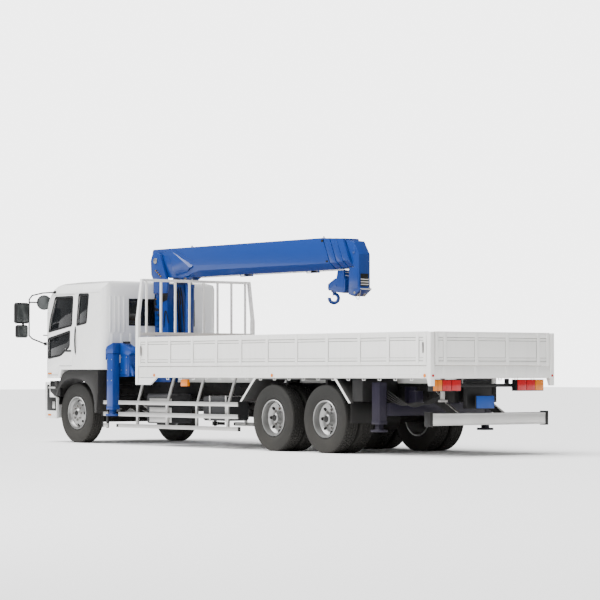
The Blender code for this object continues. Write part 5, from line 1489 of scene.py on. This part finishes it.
# ---------------------------------------------------------------- outriggers
class TRUCK_OT_outriggers(bpy.types.Operator):
    """Build the outrigger beams, jacks and feet"""
    bl_idname = "truck.outriggers"
    bl_label = "Outriggers"

    def execute(self, context):
        refined("rear_outrigger_housing", bevel=0.005)
        for side in SIDES:
            for end in ("front", "rear"):
                refined(f"{end}_outrigger_beam_{side}", bevel=0.006)
                refined(f"{end}_jack_{side}", bevel=0.004)
            self.leg_cap(side)
            self.housing(side)
            self.collars(side)
        return {"FINISHED"}

    def leg_place(self, end, side):
        """Outer X, place along the truck, bottom Z and top Z of an outrigger leg."""
        low, high = (Vector(corner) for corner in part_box(f"{end}_outrigger_beam_{side}"))
        outer = high.x if side == "left" else low.x
        return outer, BED_REAR_Y - (low.y + high.y) / 2, low.z, high.z

    def leg_cap(self, side):
        sign = SIGNS[side]
        outer, ahead, _, top = self.leg_place("front", side)
        front = 8.50 if side == "left" else 8.30
        roof = [(front, top - 0.11), (front, top + 0.075), (front - 0.03, top + 0.125),
                (ahead - 0.10, top + 0.19),
                (ahead - 0.10, top + 0.005), (front - 0.035, top + 0.005)]
        shaped(f"jack_cap_{side}", Shape().slab(roof, (outer - sign * 0.143, outer + sign * 0.004)),
               crane_paint(),
               f"front_outrigger_beam_{side}", 0.006)
        bolts = Shape()
        for drop in (0.10, 0.28, 0.46):
            for shift in (-0.06, 0.06):
                foot = spot(outer, ahead + shift, top - drop)
                bolts.rod(foot, foot + Vector((sign * 0.006, 0, 0)), 0.010, 6)
        shaped(f"leg_bolts_{side}", bolts, steel(), f"front_outrigger_beam_{side}")

    def housing(self, side):
        """Fixed end plate of the front outrigger housing, inboard of the leg."""
        sign = SIGNS[side]
        _, ahead, _, top = self.leg_place("front", side)
        roof = [(ahead + 0.13, top + 0.07), (ahead + 0.10, top + 0.125), (ahead - 0.10, top + 0.19),
                (7.99, top + 0.09),
                (7.93, top + 0.02), (8.02, top - 0.03), (ahead + 0.10, top - 0.01)]
        plate = Shape().slab(roof, (sign * 0.90, sign * 1.085))
        plate.slab([(8.27, top), (8.05, top), (8.05, 1.20), (8.27, 1.20)], (sign * 1.072, sign * 1.080))
        shaped(f"housing_cover_{side}", plate, crane_paint(), "chassis", 0.006)
        brace = Shape().slab([(8.24, 1.56), (8.20, 1.60), (7.92, 1.26), (7.92, 1.18), (7.97, 1.18)],
                             (sign * 1.03, sign * 1.05))
        shaped(f"housing_brace_{side}", brace, crane_paint(), "chassis", 0.003)
        bolt = Shape()
        for z in (1.28, 1.50):
            for place in (8.08, 8.24):
                bolt.rod(spot(sign * 1.080, place, z), spot(sign * 1.087, place, z), 0.010, 6)
        shaped(f"housing_bolts_{side}", bolt, steel(), "chassis")
        self.guard_stubs(side, ahead)

    def guard_stubs(self, side, leg_at):
        """Short guard rails ahead of the leg, black ends and a low bar open round the jack."""
        sign = SIGNS[side]
        stubs, dark = Shape(), Shape()
        for z in ((0.69, 0.757), (0.49, 0.56), (0.295, 0.36)):
            stubs.box((sign * 1.165, sign * 1.195), (8.49, 8.63), z)
            dark.box((sign * 1.163, sign * 1.197), (8.62, 8.66), (z[0] - 0.003, z[1] + 0.003))
            dark.box((sign * 1.163, sign * 1.197), (4.70, 4.74), (z[0] - 0.003, z[1] + 0.003))
        for start, end in ((7.90, leg_at - 0.14), (leg_at + 0.14, 8.50)):
            if end > start:
                dark.box((sign * 1.168, sign * 1.192), (start, end), (0.30, 0.355))
        dark.box((sign * 1.14, sign * 1.166), (8.52, 8.58), (0.28, 0.80))
        dark.box((sign * 0.42, sign * 1.16), (8.52, 8.58), (0.78, 0.84))
        shaped(f"guard_stubs_{side}", stubs, aluminium(), "chassis", 0.003)
        shaped(f"guard_ends_{side}", dark, black_trim(), "chassis", 0.004)

    def collars(self, side):
        for end in ("front", "rear"):
            sign = SIGNS[side]
            outer, ahead, low, _ = self.leg_place(end, side)
            z = (low, low + 0.05)
            ring = Shape()
            for start, stop in ((-0.096, -0.088), (0.088, 0.096)):
                ring.box((outer + sign * 0.003, outer - sign * 0.147), (ahead + start, ahead + stop), z)
            ring.box((outer - sign * 0.002, outer + sign * 0.004), (ahead - 0.09, ahead + 0.09), z)
            slot = NODE_SLOTS[f"{end}_outrigger_beam_{side}"]
            shaped(f"{end}_leg_collar_{side}", ring, SLOT_FINISHES[slot](), f"{end}_outrigger_beam_{side}",
                   0.002)


# ---------------------------------------------------------------- stage
CAMERA_X, CAMERA_BEHIND_BED, CAMERA_Z = 24.379, 26.281, 1.2367
CAMERA_HEADING = Vector((-0.61756, -0.78652, 0.0))
CAMERA_YAW, CAMERA_PITCH = math.radians(0.115), math.radians(1.723)


class TRUCK_OT_stage(bpy.types.Operator):
    """Set the floor, the soft lights and the camera"""
    bl_idname = "truck.stage"
    bl_label = "Stage"

    def execute(self, context):
        stage = context.scene.truck_stage
        self.floor(stage.floor_size)
        self.lights(stage.key_power)
        self.camera(stage.lens)
        return {"FINISHED"}

    def floor(self, size):
        mesh = bpy.data.meshes.new("floor")
        bm = bmesh.new()
        bmesh.ops.create_grid(bm, x_segments=1, y_segments=1, size=size / 2)
        bm.to_mesh(mesh)
        bm.free()
        obj = piece("floor", mesh, floor_finish(), None)

    def lights(self, power):
        world = bpy.data.worlds.new("studio")
        world.use_nodes = True
        tree = world.node_tree
        soft, backdrop = tree.nodes["Background"], tree.nodes.new("ShaderNodeBackground")
        seen, mix = tree.nodes.new("ShaderNodeLightPath"), tree.nodes.new("ShaderNodeMixShader")
        for sky, strength in ((soft, 0.4), (backdrop, 4.5)):
            sky.inputs["Color"].default_value = (1.0, 1.0, 1.0, 1.0)
            sky.inputs["Strength"].default_value = strength
        tree.links.new(seen.outputs["Is Camera Ray"], mix.inputs["Fac"])
        tree.links.new(soft.outputs["Background"], mix.inputs[1])
        tree.links.new(backdrop.outputs["Background"], mix.inputs[2])
        tree.links.new(mix.outputs["Shader"], tree.nodes["World Output"].inputs["Surface"])
        bpy.context.scene.world = world
        for name, kind, place, strength, spread in (
                ("overhead", "SUN", (6, -3, 16), power, math.radians(60)),
                ("side_fill", "AREA", (20, 11, 8), power * 190, 12.0)):
            lamp = bpy.data.lights.new(name, kind)
            lamp.energy = strength
            if kind == "SUN":
                lamp.angle = spread
            else:
                lamp.size = spread
            obj = bpy.data.objects.new(name, lamp)
            obj.location = place
            obj.rotation_euler = (Vector((0, 0, 1.0)) - Vector(place)).to_track_quat("-Z", "Y").to_euler()
            bpy.context.scene.collection.objects.link(obj)

    def camera(self, lens):
        data = bpy.data.cameras.new("camera")
        data.lens = lens
        data.clip_end = 500
        obj = bpy.data.objects.new("camera", data)
        obj.location = (CAMERA_X, BED_REAR_Y + CAMERA_BEHIND_BED, CAMERA_Z)
        right = Vector((CAMERA_HEADING.y, -CAMERA_HEADING.x, 0.0))
        level = CAMERA_HEADING * math.cos(CAMERA_YAW) + right * math.sin(CAMERA_YAW)
        aim = level * math.cos(CAMERA_PITCH) + Vector((0, 0, math.sin(CAMERA_PITCH)))
        obj.rotation_euler = aim.to_track_quat("-Z", "Y").to_euler()
        bpy.context.scene.collection.objects.link(obj)
        bpy.context.scene.camera = obj


def floor_finish():
    """Pale matt floor with a faint mottle."""
    made = bpy.data.materials.new("studio_floor")
    made.use_nodes = True
    tree = made.node_tree
    shader = tree.nodes["Principled BSDF"]
    place = tree.nodes.new("ShaderNodeTexCoord")
    mottle = noise_node(tree, place.outputs["Object"], 0.3, 3.0)
    tree.links.new(mix_colour(tree, mottle, (0.93, 0.93, 0.93), (0.95, 0.95, 0.95)),
                   shader.inputs["Base Color"])
    shader.inputs["Roughness"].default_value = 0.85
    return made


# ---------------------------------------------------------------- add-on
class TRUCK_PT_panel(bpy.types.Panel):
    """Lists the truck's pieces in the sidebar"""
    bl_label = "Crane Truck"
    bl_idname = "TRUCK_PT_panel"
    bl_space_type = "VIEW_3D"
    bl_region_type = "UI"
    bl_category = "Crane Truck"

    def draw(self, context):
        layout = self.layout
        for settings in (context.scene.truck_paint, context.scene.truck_detail, context.scene.truck_stage):
            for name in settings.__annotations__:
                layout.prop(settings, name)
        for operator in OPERATORS:
            layout.operator(operator.bl_idname)


OPERATORS = (TRUCK_OT_wheels, TRUCK_OT_chassis, TRUCK_OT_bed, TRUCK_OT_lamps, TRUCK_OT_cab, TRUCK_OT_crane,
             TRUCK_OT_outriggers, TRUCK_OT_stage)
CLASSES = (PaintSettings, DetailSettings, StageSettings) + OPERATORS + (TRUCK_PT_panel,)


def register():
    for cls in CLASSES:
        bpy.utils.register_class(cls)
    bpy.types.Scene.truck_paint = PointerProperty(type=PaintSettings)
    bpy.types.Scene.truck_detail = PointerProperty(type=DetailSettings)
    bpy.types.Scene.truck_stage = PointerProperty(type=StageSettings)


def unregister():
    for name in ("truck_paint", "truck_detail", "truck_stage"):
        delattr(bpy.types.Scene, name)
    for cls in reversed(CLASSES):
        bpy.utils.unregister_class(cls)


def main():
    register()
    for operator in (bpy.ops.truck.wheels, bpy.ops.truck.chassis, bpy.ops.truck.bed, bpy.ops.truck.lamps,
                     bpy.ops.truck.cab, bpy.ops.truck.crane, bpy.ops.truck.outriggers, bpy.ops.truck.stage):
        operator()


if __name__ == "__main__":
    main()
